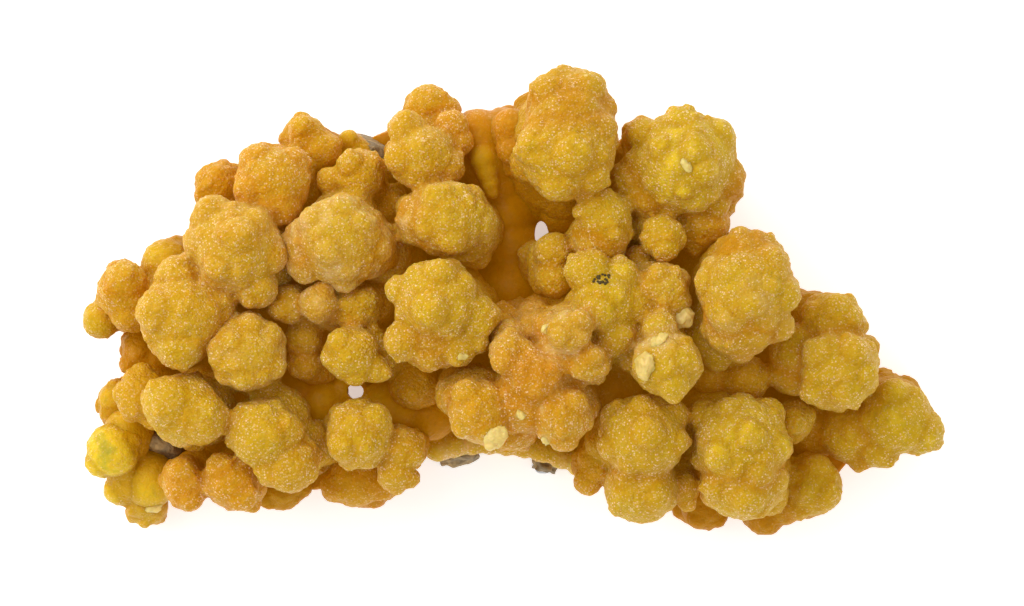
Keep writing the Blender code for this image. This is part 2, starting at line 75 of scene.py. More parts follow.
# Growth of the crust, with the same values as its solid.
HALF_LENGTH, HALF_WIDTH = 36.3, 19.6
SLAB_TOP = 3.4 * MM
KNOB_RISE = 0.42
STACK_STEP = 1.05
STACK_SHRINK = 0.96
STACK_LEAST = 1.8
STACK_LEAN = 0.24
STACK_SHIFT = 0.3
STACK_KNOBS = 3
STACK_INSET = 1.25
# These stacks lean aside by so much more, (across, up), at each step, clear of the outline.
STACK_ASIDE = {"far_east_globe": (0.0, -0.8), "olive_pip": (0.0, -0.8)}
STACK_KNOB_TILT = 0.6
STACK_KNOB_SIZES = (0.38, 0.5)
BASE_CENTRE = 1.6
SEED = 7
# The fine mesh stays this far above the flat back.
BACK_CLEARANCE = 0.3 * MM
# Low lobes break up each ball of the display side. Their rise is a share of their own radius, and a
# globe sinks a little for them. A globe that is smoother than the limit has none.
LOBE_RISE = 0.17
LOW_LOBE_RISE = 0.08
LOBED_LEAST = 1.75
LOBE_TRIES = 15
LOBE_SPACING = 0.74
LOBE_SINK = 0.16
LOBE_SHARE, LOBE_SIZES = 0.2, (0.3, 0.75)
LOBE_MOST, LOBE_MOST_SHARE = 1.5, 0.6
LOBE_LOWEST = -0.2
SMOOTH_LIMIT = 0.45
# Small knobs are scattered over the upper side and the flanks. Their depth is a share of their radius.
SMALL_KNOB_AREA = 3.0
SMALL_KNOB_SIZES = (0.4, 0.8)
SMALL_KNOB_DEPTHS = (0.62, 0.78)
SMALL_KNOB_LOWEST = -0.35
LOW_LOBED = (
    "smooth_globe", "left_shoulder", "golden_globe", "twin_east", "amber_drop", "southwest_bead",
    "pea_bead", "saddle_bead", "amber_bead", "peak_side", "north_bud", "almond_bead_top",
)
# The tables' middle lies this far from the frame's origin, which is under the middle of the box.
TABLE_SHIFT = Vector((-0.05, -0.18, 0.0)) * MM

# Each globe is (x, y, z, radius, knobs). A knob is (across, up, radius) from its globe's centre, as seen
# from the display side, and sits on the globe's surface there.
GLOBES = {
    "far_left_bead": (-34.6, -1.4, 8.0, 1.6, ()),
    "left_shoulder": (-32.6, 0.9, 10.5, 2.4, ((0.5, -1.6, 1.9), (0.2, 0.9, 1.9))),
    "pale_bead": (-29.1, 3.3, 8.0, 2.1, ()),
    "west_globe": (
        -27.4, -1.2, 14.5, 3.9,
        ((-0.4, 3.3, 2.1), (2.3, 1.2, 2.4), (-0.2, -2.2, 2.3), (-2.0, 0.5, 2.0)),
    ),
    "northwest_globe": (
        -22.9, 4.6, 15.5, 3.9,
        ((-2.0, 2.7, 1.9), (-3.0, 0.4, 1.7), (1.6, -3.3, 2.0), (2.7, -0.7, 1.7),
         (0.2, 0.9, 1.9), (1.5, 1.9, 1.5), (-1.4, -1.5, 1.5)),
    ),
    "amber_bead": (-24.8, 9.9, 9.5, 2.1, ((-0.9, -0.9, 1.3),)),
    "golden_globe": (
        -20.1, 9.8, 12.5, 3.3,
        ((-1.2, 1.9, 1.8), (1.6, 1.7, 1.7), (-1.8, -0.4, 1.6), (0.7, -1.7, 1.9)),
    ),
    "north_bud": (-17.4, 14.2, 8.5, 1.7, ((1.3, -1.4, 1.8), (-0.3, 0.5, 1.2))),
    "saddle_bead": (-12.9, 10.7, 11.5, 2.3, ((-2.5, -0.5, 1.3), (-0.6, 0.8, 1.4))),
    "shadow_bead": (-10.2, 8.3, 8.5, 1.9, ()),
    "north_globe": (
        -7.7, 12.1, 14.0, 2.9,
        ((-1.2, 2.3, 1.8), (2.1, -0.8, 1.7), (-1.6, -0.1, 1.6)),
    ),
    "north_peak": (-7.2, 16.6, 10.0, 1.9, ((1.4, -0.6, 1.6),)),
    "peak_side": (-5.2, 14.6, 12.5, 1.5, ((0.4, -1.2, 1.4),)),
    "pink_shoulder_top": (-0.2, 14.7, 11.5, 1.6, ((0.9, -0.2, 1.2),)),
    "pink_shoulder_foot": (0.0, 12.9, 11.5, 1.5, ()),
    "hub_west": (-7.3, 6.9, 15.4, 2.6, ()),
    "hub_globe": (
        -5.4, 7.0, 16.0, 3.3,
        ((2.5, -0.3, 1.8), (-3.3, 0.3, 1.1), (1.9, 1.7, 1.3), (-1.0, 1.5, 1.5),
         (0.3, -1.7, 1.5), (-1.8, -0.8, 1.3)),
    ),
    "frosted_west": (-16.6, 4.7, 15.0, 2.8, ()),
    "frosted_east": (-12.5, 4.6, 15.1, 2.9, ()),
    "frosted_globe": (
        -14.4, 5.2, 15.5, 3.9,
        ((2.8, -1.0, 1.9), (0.4, 2.4, 1.4), (-2.1, 1.5, 1.5), (-3.9, 0.5, 1.0),
         (-2.9, -2.1, 1.7), (0.4, -3.0, 1.5), (1.7, 1.2, 1.4), (-0.8, -0.8, 1.5)),
    ),
    "crumb_west": (-18.6, -0.1, 13.5, 1.7, ((-0.8, -0.3, 1.1),)),
    "crumb_frosted": (-16.2, 0.0, 15.0, 1.6, ((0.4, 0.9, 1.0),)),
    "crumb_east": (-12.9, -0.3, 13.5, 2.1, ((-0.6, -1.1, 1.2), (0.7, 0.6, 1.3))),
    "south_bead": (
        -13.5, -4.2, 15.5, 2.5,
        ((2.0, -1.2, 1.4), (0.4, -1.7, 1.2), (-0.9, 1.0, 1.3)),
    ),
    "pink_bead_top": (-17.5, -2.9, 11.5, 1.6, ()),
    "pink_bead_foot": (-17.5, -5.0, 11.0, 1.5, ()),
    "knobbly_globe": (
        -22.1, -4.1, 15.0, 3.4,
        ((0.3, 2.1, 1.4), (1.9, 1.4, 1.3), (2.1, -1.1, 1.4), (-0.3, -1.9, 1.4),
         (-2.1, 0.2, 1.4), (-1.7, -1.9, 1.1), (-1.1, 0.9, 1.2), (1.1, -1.8, 1.1)),
    ),
    "heart_foot": (-6.9, -2.6, 16.6, 3.1, ()),
    "heart_globe": (
        -6.3, 0.2, 18.0, 3.6,
        ((-2.7, -3.3, 1.9), (1.7, -4.0, 1.7), (3.2, -1.3, 2.0), (-3.2, 0.9, 1.4),
         (-0.6, -4.6, 1.4), (0.2, 2.0, 1.7), (3.3, -3.4, 1.2), (-0.5, -0.6, 1.9)),
    ),
    "dusky_bead": (-8.4, -6.8, 9.5, 2.3, ()),
    "dusky_floor_west": (-10.6, -9.0, 7.5, 2.6, ()),
    "dusky_floor_east": (-7.0, -9.4, 7.0, 2.2, ()),
    "twin_west": (-12.8, -10.9, 14.0, 3.0, ((1.2, 1.1, 1.7), (-1.2, -0.9, 1.6))),
    "twin_east": (-9.3, -12.2, 13.0, 2.1, ((-0.6, -1.9, 1.7), (0.7, -2.4, 1.0))),
    "south_floor": (-13.3, -14.8, 7.5, 2.5, ((2.4, -0.3, 1.6), (-1.7, -0.6, 1.5))),
    "smooth_globe": (
        -27.3, -8.8, 14.5, 3.2,
        ((-1.2, 0.5, 2.5), (1.4, -0.6, 2.4), (1.6, -1.7, 1.4)),
    ),
    "pear_foot": (-18.4, -12.9, 13.6, 2.5, ()),
    "pear_globe": (
        -20.8, -10.8, 14.5, 3.1,
        ((2.3, -2.7, 2.4), (1.8, 0.3, 1.8), (0.8, -3.0, 1.7)),
    ),
    "southwest_bead": (-23.5, -14.8, 12.0, 2.5, ((-0.8, 1.1, 1.5), (0.8, -1.1, 1.6))),
    "amber_drop": (-27.4, -15.2, 11.0, 2.1, ((-0.2, 1.0, 1.5), (0.4, -1.0, 1.4))),
    "west_slope": (-31.2, -7.7, 10.5, 2.3, ((0.2, 1.5, 1.4), (1.1, -1.9, 1.2))),
    "green_rim": (-33.5, -8.1, 5.5, 1.5, ((-0.2, -1.2, 1.2), (-0.1, 1.0, 0.8))),
    "lemon_bead": (-33.6, -12.3, 7.5, 2.3, ((-1.1, -1.1, 1.3), (1.3, 0.8, 1.3))),
    "green_corner": (
        -32.0, -14.7, 5.0, 2.2, ((1.8, -0.8, 1.3), (1.7, 1.4, 1.1), (-1.2, -1.0, 1.4)),
    ),
    "pale_tip": (-31.3, -16.9, 4.6, 1.2, ((-0.7, -0.4, 0.7), (1.3, 0.7, 0.7))),
    "amber_block": (-31.3, -4.0, 6.5, 1.8, ((1.2, -0.4, 1.7), (-1.0, -1.1, 1.1))),
    "southwest_base": (-19.5, -15.9, 3.6, 1.8, ((-1.2, -0.6, 1.1), (1.7, 0.3, 1.0))),
    "amber_wall_west": (-3.0, 13.8, 9.0, 2.5, ()),
    "amber_wall_east": (-0.8, 13.9, 8.6, 2.5, ()),
    "amber_wall_middle": (-2.0, 12.0, 8.5, 2.6, ()),
    "amber_wall_foot": (-1.5, 10.0, 8.0, 2.3, ()),
    "hanging_point": (-2.6, 12.1, 11.0, 1.2, ((0.3, -1.1, 1.0), (0.6, -2.1, 0.8), (0.8, -2.9, 0.6))),
    "hollow_north": (-0.7, 7.6, 7.4, 2.7, ()),
    "hollow_middle": (-0.3, 4.6, 7.0, 3.0, ()),
    "hollow_south": (-0.4, 1.2, 7.4, 3.2, ((2.7, 0.9, 2.0),)),
    "hollow_foot": (0.0, -2.0, 8.6, 2.6, ()),
    "hollow_druse": (3.8, 7.6, 8.5, 1.7, ()),
    "olive_floor": (-16.2, -8.5, 7.2, 2.7, ()),
    "olive_floor_east": (-14.2, -7.4, 7.6, 1.8, ()),
    "olive_floor_west": (-18.2, -7.4, 7.4, 2.2, ()),
    "olive_pip": (-13.9, 13.7, 6.5, 0.9, ()),
    "green_floor_high": (-32.4, -11.0, 6.6, 2.2, ()),
    "green_floor_low": (-30.7, -14.9, 5.2, 2.4, ()),
    "crown_globe_middle": (4.5, 14.6, 16.4, 3.8, ()),
    "crown_globe_low": (
        4.4, 12.6, 17.0, 4.2,
        ((0.4, -0.4, 2.0), (-2.6, 0.3, 1.9), (2.6, 1.6, 1.7), (-0.8, -2.7, 1.7),
         (2.0, -2.0, 1.7)),
    ),
    "crown_globe_high": (
        4.65, 16.1, 15.5, 3.6,
        ((-1.7, 1.3, 1.8), (1.5, 1.6, 1.7), (2.8, 0.0, 1.3), (0.1, 0.0, 1.6)),
    ),
    "laurel_west": (10.6, 9.7, 13.2, 2.9, ((-1.1, 0.6, 1.6), (0.3, -1.2, 1.6))),
    "laurel_northwest": (10.8, 13.5, 12.6, 2.1, ((-0.6, 0.6, 1.2),)),
    "laurel_east": (16.8, 10.4, 13.4, 2.5, ((1.0, -0.4, 1.5),)),
    "laurel_globe": (
        14.2, 11.5, 14.5, 4.4,
        ((-0.3, 3.1, 1.9), (2.5, 2.1, 1.9), (3.3, -1.1, 1.9), (-3.3, -0.6, 2.1),
         (-3.1, -2.7, 1.8), (-3.5, 2.5, 1.6), (0.7, 1.0, 1.6), (-0.2, -2.1, 1.1),
         (-2.0, 1.2, 1.3), (2.4, -3.1, 1.5), (1.4, -0.6, 1.5)),
    ),
    "pea_bead": (12.3, 5.5, 16.0, 2.0, ((0.2, -0.9, 1.4),)),
    "rosy_bead": (15.8, 6.7, 13.0, 2.3, ((-0.8, -1.5, 1.5),)),
    "choir_foot": (7.2, 5.0, 15.5, 2.4, ()),
    "choir_bead": (
        7.4, 7.0, 16.0, 2.5,
        ((0.4, -1.3, 1.7), (-1.1, 0.8, 1.4), (1.8, -1.3, 0.9)),
    ),
    "almond_bead_top": (3.3, 4.2, 14.0, 1.7, ()),
    "almond_bead_foot": (3.4, 2.1, 14.0, 1.7, ()),
    "clover_globe": (
        7.6, 0.1, 17.5, 2.9,
        ((-1.4, 2.4, 2.1), (1.3, 2.1, 1.7), (2.3, -0.2, 1.8), (-0.6, -0.8, 1.9),
         (0.6, -2.6, 2.1)),
    ),
    "rosy_pip": (10.3, 3.6, 14.0, 1.3, ()),
    "druse_bead": (12.4, 1.2, 17.0, 2.3, ((-0.5, 1.1, 1.2), (0.9, -1.0, 1.5))),
    "chipped_globe": (
        12.6, -5.0, 18.8, 3.0,
        ((-0.6, 2.9, 1.7), (-1.6, -0.2, 1.5), (0.4, -1.5, 1.7), (1.3, 0.4, 1.5)),
    ),
    "east_globe_high": (19.4, 2.6, 17.2, 3.6, ()),
    "east_globe_low": (18.6, -1.5, 17.6, 3.3, ()),
    "east_globe": (
        19.2, 1.1, 18.0, 4.2,
        ((-0.3, 3.0, 2.2), (1.9, 2.2, 1.7), (-3.1, 0.6, 1.5), (-1.4, -2.0, 2.1),
         (2.8, -0.4, 1.8), (2.6, -3.0, 1.5), (-0.3, -3.9, 1.7), (0.3, -1.0, 1.5)),
    ),
    "olive_globe_high": (
        26.5, -1.8, 12.5, 2.9,
        ((0.2, 1.3, 1.5), (-1.7, 0.8, 1.3), (1.4, 0.6, 1.3)),
    ),
    "olive_west": (23.6, -4.1, 12.6, 2.6, ()),
    "olive_globe_low": (
        26.9, -5.5, 14.0, 3.5,
        ((-1.6, 1.2, 1.7), (1.1, 1.3, 1.7), (0.6, -1.6, 1.8), (-1.8, -1.6, 1.6),
         (1.9, -0.5, 1.5)),
    ),
    "olive_shadow": (23.2, -5.6, 12.0, 2.3, ()),
    "far_east_globe": (
        31.9, -9.6, 8.5, 3.3,
        ((-0.2, 1.8, 1.7), (2.2, -1.1, 2.1), (-1.3, -2.6, 1.8)),
    ),
    "far_east_neck": (28.2, -10.8, 7.5, 2.8, ((-0.2, 0.0, 0.9), (0.9, -1.7, 1.7))),
    "far_east_root": (25.3, -10.6, 6.0, 2.5, ()),
    "southeast_globe": (
        25.0, -15.3, 8.0, 2.7,
        ((0.3, 1.4, 1.5), (1.1, -0.7, 1.5), (-1.2, -1.6, 1.5)),
    ),
    "southeast_neck": (22.6, -17.0, 7.0, 1.7, ()),
    "southeast_tip": (21.1, -18.0, 6.5, 1.6, ()),
    "cauliflower_high": (
        18.8, -11.7, 14.5, 4.2,
        ((-3.1, 2.3, 1.6), (-1.0, 2.7, 1.4), (2.2, 2.4, 1.7), (2.8, -0.2, 1.5),
         (0.7, 0.6, 1.6), (-1.7, -0.8, 1.7), (1.3, -2.1, 1.7)),
    ),
    "cauliflower_low": (
        19.0, -14.5, 14.0, 3.7,
        ((-2.2, -0.6, 1.5), (0.3, -1.6, 1.7), (2.6, -0.2, 1.4)),
    ),
    "raspberry_high": (
        10.7, -11.1, 15.5, 3.7,
        ((0.0, 2.3, 1.5), (-2.3, 1.6, 1.5), (2.2, 1.8, 1.7), (0.3, 0.4, 1.7),
         (2.6, -0.3, 1.4), (-2.6, -0.8, 1.3)),
    ),
    "raspberry_low": (10.5, -15.3, 14.0, 3.2, ((-1.2, 0.9, 1.3), (1.2, -0.7, 1.5))),
    "raspberry_side": (14.0, -15.3, 12.5, 1.5, ((0.4, -1.2, 0.9),)),
    "drift_bead": (7.0, -13.4, 11.0, 1.8, ((-0.3, 1.2, 1.2), (-0.8, -1.4, 1.4))),
    "brown_bead_east": (19.2, -6.3, 12.0, 2.2, ()),
    "brown_bead_west": (16.3, -6.0, 12.0, 1.7, ()),
    "sliver_bead": (23.2, -9.8, 11.5, 1.3, ()),
    "grey_bead": (16.1, -17.1, 4.6, 2.2, ()),
    "cellar_bead": (8.6, -6.8, 10.5, 2.2, ((-1.3, -1.3, 1.5),)),
    "cellar_pip": (14.8, -8.1, 10.0, 1.5, ()),
    "crown_drop_heart": (0.8, -8.0, 17.2, 2.9, ()),
    "crown_drop_foot": (-0.2, -10.3, 15.8, 2.1, ()),
    "crown_drop_saddle": (3.7, -4.5, 18.2, 2.3, ()),
    "crown_drop_west": (
        -2.8, -8.9, 17.5, 2.8,
        ((-1.0, 1.3, 1.6), (0.7, -1.4, 1.7)),
    ),
    "crown_drop_east": (
        3.9, -9.2, 18.0, 2.7,
        ((1.1, 0.9, 1.4), (0.2, -1.8, 1.5), (-1.0, 0.6, 0.7)),
    ),
    "crown_drop_north": (4.6, -2.3, 20.5, 2.0, ((-0.7, -0.3, 1.1), (0.7, 0.8, 1.2))),
    "crown_drop_side": (6.1, -4.9, 19.5, 1.8, ((0.4, 0.5, 1.1),)),
    "crown_drop_middle": (1.7, -6.0, 18.5, 2.7, ((-1.0, 0.5, 1.2), (1.3, 0.6, 1.3))),
    "crown_drop_pip": (-0.8, -4.8, 20.0, 1.2, ()),
    "crown_drop_rim": (-4.5, -7.8, 15.5, 1.5, ()),
    "crown_drop_fin": (2.8, -2.1, 17.5, 1.5, ()),
}

# The thin lip of crust along the arch: a row of small beads on an arc through these (x, y) places.
LIP_WEST, LIP_CREST, LIP_EAST = (-6.4, -12.1), (-0.6, -11.6), (5.6, -13.4)
LIP_BEADS = 9
LIP_HEIGHT = 4.4
LIP_RADIUS = 1.35

# The slab that the globes grew from, as seen from the display side.
SLAB_OUTLINE = (
    (-33.0, -3.0), (-31.0, 1.5), (-27.0, 5.0), (-25.0, 9.5), (-20.0, 12.0),
    (-15.0, 12.4), (-9.5, 15.2), (-5.0, 15.6), (1.0, 14.8), (4.5, 17.5),
    (7.5, 12.0), (13.0, 14.0), (17.0, 12.0), (16.5, 7.0), (21.0, 4.0),
    (24.5, 0.5), (28.5, -4.5), (33.0, -9.5), (29.0, -12.5), (26.0, -16.0),
    (20.0, -17.0), (15.0, -17.0), (10.0, -16.8), (6.0, -14.0), (0.0, -11.7),
    (-6.5, -12.0), (-9.5, -14.5), (-14.0, -15.6), (-19.0, -15.8), (-24.0, -16.2),
    (-30.5, -15.6), (-33.4, -11.5), (-32.6, -7.0),
)
# Two natural holes go right through the crust: (x, y, half width, half height). They are this many
# times wider at the back.
THROUGH_HOLES = ((2.3, 5.7, 0.45, 0.9), (-13.3, -7.4, 0.55, 0.5))
HOLE_BACK_FLARE = 2.4
HOLE_DEPTH = 28 * MM
HOLE_SIDES = 20

# Remnants of the rock, each (x, y, half length, half width, height, turn in degrees), seen in gaps.
ROCKS = {
    "matrix_north": (-12.3, 12.7, 1.9, 1.3, 6.4, -20.0),
    "matrix_west": (-29.4, -11.9, 2.0, 1.2, 7.6, -20.0),
    "matrix_arch": (-4.7, -12.7, 1.8, 1.0, 3.6, 12.0),
    "matrix_foot": (2.7, -13.5, 1.1, 0.9, 3.0, -12.0),
}
ROCK_ROUGHNESS = 0.45 * MM
ROCK_DETAIL, ROCK_SQUARENESS = 1.9, 0.62

# The stage: the sides of the floor, the camera's sensor in millimetres, how far to the right of the
# tables' middle it looks, and where the large light stands.
FLOOR_SIDE = 4.0
SENSOR = 36.0
VIEW_CENTRE = -0.17
KEY_PLACE, KEY_SIZE = (-0.19, 0.15, 0.24), 0.34

# The globes that each piece of the scene is grown from.
CLUSTERS = {
    "west_botryoids": (
        "far_left_bead", "left_shoulder", "pale_bead", "west_globe", "northwest_globe", "amber_bead",
        "golden_globe", "north_bud",
    ),
    "southwest_botryoids": (
        "knobbly_globe", "smooth_globe", "pear_globe", "pear_foot", "southwest_bead", "amber_drop",
        "west_slope", "green_rim", "lemon_bead", "green_corner", "pale_tip", "amber_block",
        "southwest_base",
    ),
    "north_botryoids": (
        "saddle_bead", "shadow_bead", "north_globe", "north_peak", "peak_side", "pink_shoulder_top",
        "pink_shoulder_foot", "hub_globe", "hub_west", "frosted_globe", "frosted_west", "frosted_east",
    ),
    "middle_botryoids": (
        "crumb_west", "crumb_frosted", "crumb_east", "south_bead", "pink_bead_top", "pink_bead_foot",
        "heart_globe", "heart_foot", "dusky_bead", "twin_west", "twin_east", "south_floor",
    ),
    "hollow_botryoids": (
        "dusky_floor_west", "dusky_floor_east", "amber_wall_west", "amber_wall_east",
        "amber_wall_middle", "amber_wall_foot", "hanging_point", "hollow_north", "hollow_middle",
        "hollow_south", "hollow_foot", "hollow_druse", "olive_floor", "olive_floor_east",
        "olive_floor_west", "olive_pip", "green_floor_high", "green_floor_low",
    ),
    "crown_botryoids": (
        "crown_globe_low", "crown_globe_middle", "crown_globe_high", "laurel_globe", "laurel_west",
        "laurel_northwest", "laurel_east", "pea_bead", "rosy_bead", "choir_bead", "choir_foot",
        "almond_bead_top", "almond_bead_foot",
    ),
    "front_botryoids": (
        "clover_globe", "rosy_pip", "druse_bead", "chipped_globe", "cellar_bead", "cellar_pip",
        "crown_drop_heart", "crown_drop_foot", "crown_drop_saddle", "crown_drop_west",
        "crown_drop_east", "crown_drop_north", "crown_drop_side",
        "crown_drop_middle", "crown_drop_pip", "crown_drop_rim", "crown_drop_fin",
    ),
    "east_botryoids": (
        "east_globe", "east_globe_high", "east_globe_low", "olive_west", "olive_globe_high",
        "olive_globe_low", "olive_shadow", "far_east_globe",
        "far_east_neck", "far_east_root", "brown_bead_east", "brown_bead_west", "sliver_bead",
    ),
    "southeast_botryoids": (
        "southeast_globe", "southeast_neck", "southeast_tip", "cauliflower_high",
        "cauliflower_low", "raspberry_high", "raspberry_low", "raspberry_side", "drift_bead",
        "grey_bead",
    ),
}

HOLED_CLUSTERS = ("hollow_botryoids", "middle_botryoids", "crown_botryoids")
# The hollow's walls are smoother than the globes.
HOLLOW_ROUGHNESS = 0.4
# How far apart the swellings, the pebbles and the crystals of the druse are.
KNOB_SIZE, PEBBLE_SIZE, GRAIN_SIZE = 1.5 * MM, 0.55 * MM, 0.42 * MM
BACKING_MESH_SIZE = 0.3 * MM

# How far each globe's colour goes from lemon, at 0, to orange, at 1, how much pale frost lies on it,
# and how smooth it is. A globe that isn't named has the usual tone.
USUAL_TONE = (0.32, 0.3, 0.0)
TONES = {
    "far_left_bead": (0.1, 0.1, 0.5),
    "left_shoulder": (0.62, 0.3, 0.1),
    "pale_bead": (0.1, 0.1, 0.5),
    "west_globe": (0.46, 0.35, 0.0),
    "northwest_globe": (0.5, 0.5, 0.0),
    "amber_bead": (0.68, 0.25, 0.1),
    "golden_globe": (0.7, 0.3, 0.1),
    "north_bud": (0.58, 0.3, 0.2),
    "saddle_bead": (0.45, 0.35, 0.0),
    "shadow_bead": (0.62, 0.15, 0.1),
    "north_globe": (0.5, 0.3, 0.05),
    "north_peak": (0.62, 0.3, 0.1),
    "peak_side": (0.75, 0.3, 0.2),
    "pink_shoulder_top": (0.85, 0.35, 0.3),
    "pink_shoulder_foot": (0.9, 0.25, 0.4),
    "hub_globe": (0.33, 0.4, 0.0),
    "hub_west": (0.4, 0.45, 0.0),
    "frosted_west": (0.42, 0.9, 0.0),
    "frosted_east": (0.36, 0.8, 0.0),
    "frosted_globe": (0.36, 0.9, 0.0),
    "crumb_west": (0.4, 0.7, 0.0),
    "crumb_frosted": (0.45, 0.9, 0.0),
    "crumb_east": (0.38, 0.5, 0.0),
    "pink_bead_top": (0.6, 0.5, 0.1),
    "pink_bead_foot": (0.62, 0.45, 0.1),
    "knobbly_globe": (0.4, 0.6, 0.0),
    "heart_globe": (0.34, 0.3, 0.0),
    "dusky_bead": (0.6, 0.2, 0.1),
    "dusky_floor_west": (0.4, 0.0, 0.9),
    "dusky_floor_east": (0.6, 0.1, 0.6),
    "twin_west": (0.36, 0.3, 0.0),
    "twin_east": (0.46, 0.3, 0.0),
    "south_floor": (0.72, 0.2, 0.3),
    "smooth_globe": (0.42, 0.3, 0.1),
    "pear_globe": (0.36, 0.3, 0.0),
    "southwest_bead": (0.72, 0.25, 0.2),
    "amber_drop": (0.76, 0.3, 0.2),
    "west_slope": (0.5, 0.2, 0.2),
    "green_rim": (0.06, 0.2, 0.5),
    "lemon_bead": (0.12, 0.15, 0.5),
    "green_corner": (0.04, 0.2, 0.6),
    "pale_tip": (0.1, 0.6, 0.5),
    "amber_block": (0.85, 0.1, 0.4),
    "southwest_base": (0.1, 0.3, 0.3),
    "amber_wall_west": (0.9, 0.1, 0.8),
    "amber_wall_east": (0.95, 0.15, 0.8),
    "amber_wall_foot": (0.9, 0.1, 0.8),
    "amber_wall_middle": (0.85, 0.05, 0.9),
    "hanging_point": (0.3, 0.1, 0.9),
    "olive_floor": (0.5, 0.0, 0.9),
    "olive_floor_east": (0.1, 0.0, 0.9),
    "olive_floor_west": (0.7, 0.0, 0.9),
    "olive_pip": (0.05, 0.1, 0.5),
    "green_floor_high": (0.03, 0.05, 0.8),
    "green_floor_low": (0.02, 0.1, 0.7),
    "hollow_foot": (0.85, 0.05, 0.8),
    "hollow_north": (0.85, 0.05, 0.9),
    "hollow_middle": (0.85, 0.05, 0.9),
    "hollow_south": (0.85, 0.05, 0.8),
    "hollow_druse": (0.5, 0.2, 0.2),
    "crown_globe_low": (0.36, 0.25, 0.0),
    "crown_globe_high": (0.36, 0.3, 0.0),
    "laurel_globe": (0.2, 0.3, 0.0),
    "laurel_west": (0.3, 0.3, 0.0),
    "laurel_northwest": (0.42, 0.35, 0.0),
    "laurel_east": (0.22, 0.3, 0.0),
    "pea_bead": (0.28, 0.25, 0.0),
    "rosy_bead": (0.6, 0.4, 0.0),
    "choir_bead": (0.27, 0.25, 0.0),
    "clover_globe": (0.22, 0.3, 0.0),
    "rosy_pip": (0.62, 0.4, 0.0),
    "druse_bead": (0.42, 0.5, 0.0),
    "chipped_globe": (0.3, 0.35, 0.0),
    "east_globe": (0.28, 0.45, 0.0),
    "olive_globe_high": (0.26, 0.3, 0.0),
    "olive_globe_low": (0.28, 0.35, 0.0),
    "olive_shadow": (0.42, 0.2, 0.1),
    "far_east_globe": (0.24, 0.25, 0.0),
    "far_east_root": (0.6, 0.1, 0.6),
    "southeast_globe": (0.26, 0.25, 0.0),
    "southeast_tip": (0.5, 0.15, 0.2),
    "cauliflower_high": (0.22, 0.35, 0.0),
    "cauliflower_low": (0.28, 0.25, 0.0),
    "raspberry_high": (0.34, 0.35, 0.0),
    "raspberry_low": (0.32, 0.3, 0.0),
    "drift_bead": (0.52, 0.3, 0.0),
    "brown_bead_east": (0.62, 0.2, 0.1),
    "brown_bead_west": (0.62, 0.2, 0.1),
    "grey_bead": (0.6, 0.5, 0.0),
    "cellar_bead": (0.8, 0.0, 0.8),
    "crown_drop_heart": (0.72, 0.4, 0.0),
    "crown_drop_foot": (0.62, 0.3, 0.1),
    "crown_drop_saddle": (0.7, 0.9, 0.0),
    "cellar_pip": (0.7, 0.1, 0.4),
    "crown_drop_west": (0.6, 0.3, 0.1),
    "crown_drop_east": (0.66, 0.5, 0.0),
    "crown_drop_north": (0.5, 0.8, 0.0),
    "crown_drop_side": (0.5, 0.6, 0.0),
    "crown_drop_middle": (0.82, 0.4, 0.2),
    "crown_drop_pip": (0.7, 0.6, 0.0),
    "crown_drop_rim": (0.6, 0.5, 0.0),
    "crown_drop_fin": (0.8, 0.8, 0.0),
}
# The lip is palest at its ends: the warmth of its ends, what its middle has more, frost, smoothness.
LIP_TONE = (0.09, 0.42, 0.3, 0.6)

PAINTED = ("warmth", "frosting", "smoothness", "flank", "seam", "crease", "depth")
PAINT_STEP = 4000
# How much the tones of balls differ and how far they blend, how wide seams and creases of painted shade
# are, how far a seam is seen through what lies over it, how the roof over a point falls beside a globe,
# how deep under that roof the painted shade of deep places starts and is full, and how deep the crust
# can still be bruised.
TONE_SPREAD = 0.07
TONE_BLEND = 0.3
SEAM_WIDTH = 0.22
SEAM_REACH, SEAM_HOLD = 0.3, 1.4
CREASE_WIDTH = 0.55
ROOF_SLOPE, ROOF_FLAT = 0.9, 0.6
BRIGHT_DEPTH, DARK_DEPTH = 1.5, 9.5
BRUISED_DEPTH = 0.25
BRUISE_EDGE, BRUISE_FROST = 2.0, 1.5
# How strong the painted shade is in the seams between the globes and their knobs, and between their
# lobes.
SEAM_SHARES = ((1, 0.6), (2, 1.0))
# Strength of the painted glow, an emission in deep places and creases.
PAINTED_GLOW_STRENGTH = 0.1

# Bruised, whitish places on the display side, each (x, y, radius, amount).
BRUISES = (
    (-17.8, 6.3, 1.3, 1.0), (-15.8, 6.9, 1.0, 0.7), (-14.1, 2.8, 1.1, 0.9), (-14.9, 1.9, 1.0, 0.8),
    (-19.1, 5.3, 0.8, 0.9), (-16.2, 0.0, 0.8, 1.0), (-9.2, 6.8, 0.7, 0.9), (-20.5, -2.7, 0.7, 0.7),
    (-23.5, -3.9, 0.8, 0.6), (-25.9, -9.8, 0.7, 0.7), (20.5, 0.3, 0.9, 0.8), (17.6, -1.3, 1.2, 0.7),
    (15.9, 3.7, 1.0, 0.4), (0.5, -9.1, 0.5, 1.0), (2.9, -11.0, 0.6, 1.0), (2.4, -8.7, 0.5, 0.9),
    (14.1, 11.3, 0.7, 0.9), (3.2, -4.0, 1.4, 0.7), (-1.6, -11.0, 1.0, 0.6), (12.2, -2.9, 1.7, 1.2),
    (10.3, -3.6, 0.8, 1.0), (19.4, 1.2, 1.4, 0.8), (4.6, -1.7, 1.5, 0.6), (-30.9, -16.4, 0.9, 1.0),
    (-5.6, -12.3, 1.1, 1.0), (-4.2, -11.9, 1.0, 1.0), (-3.0, -11.6, 0.8, 0.8), (4.2, -13.2, 0.9, 0.7),
)

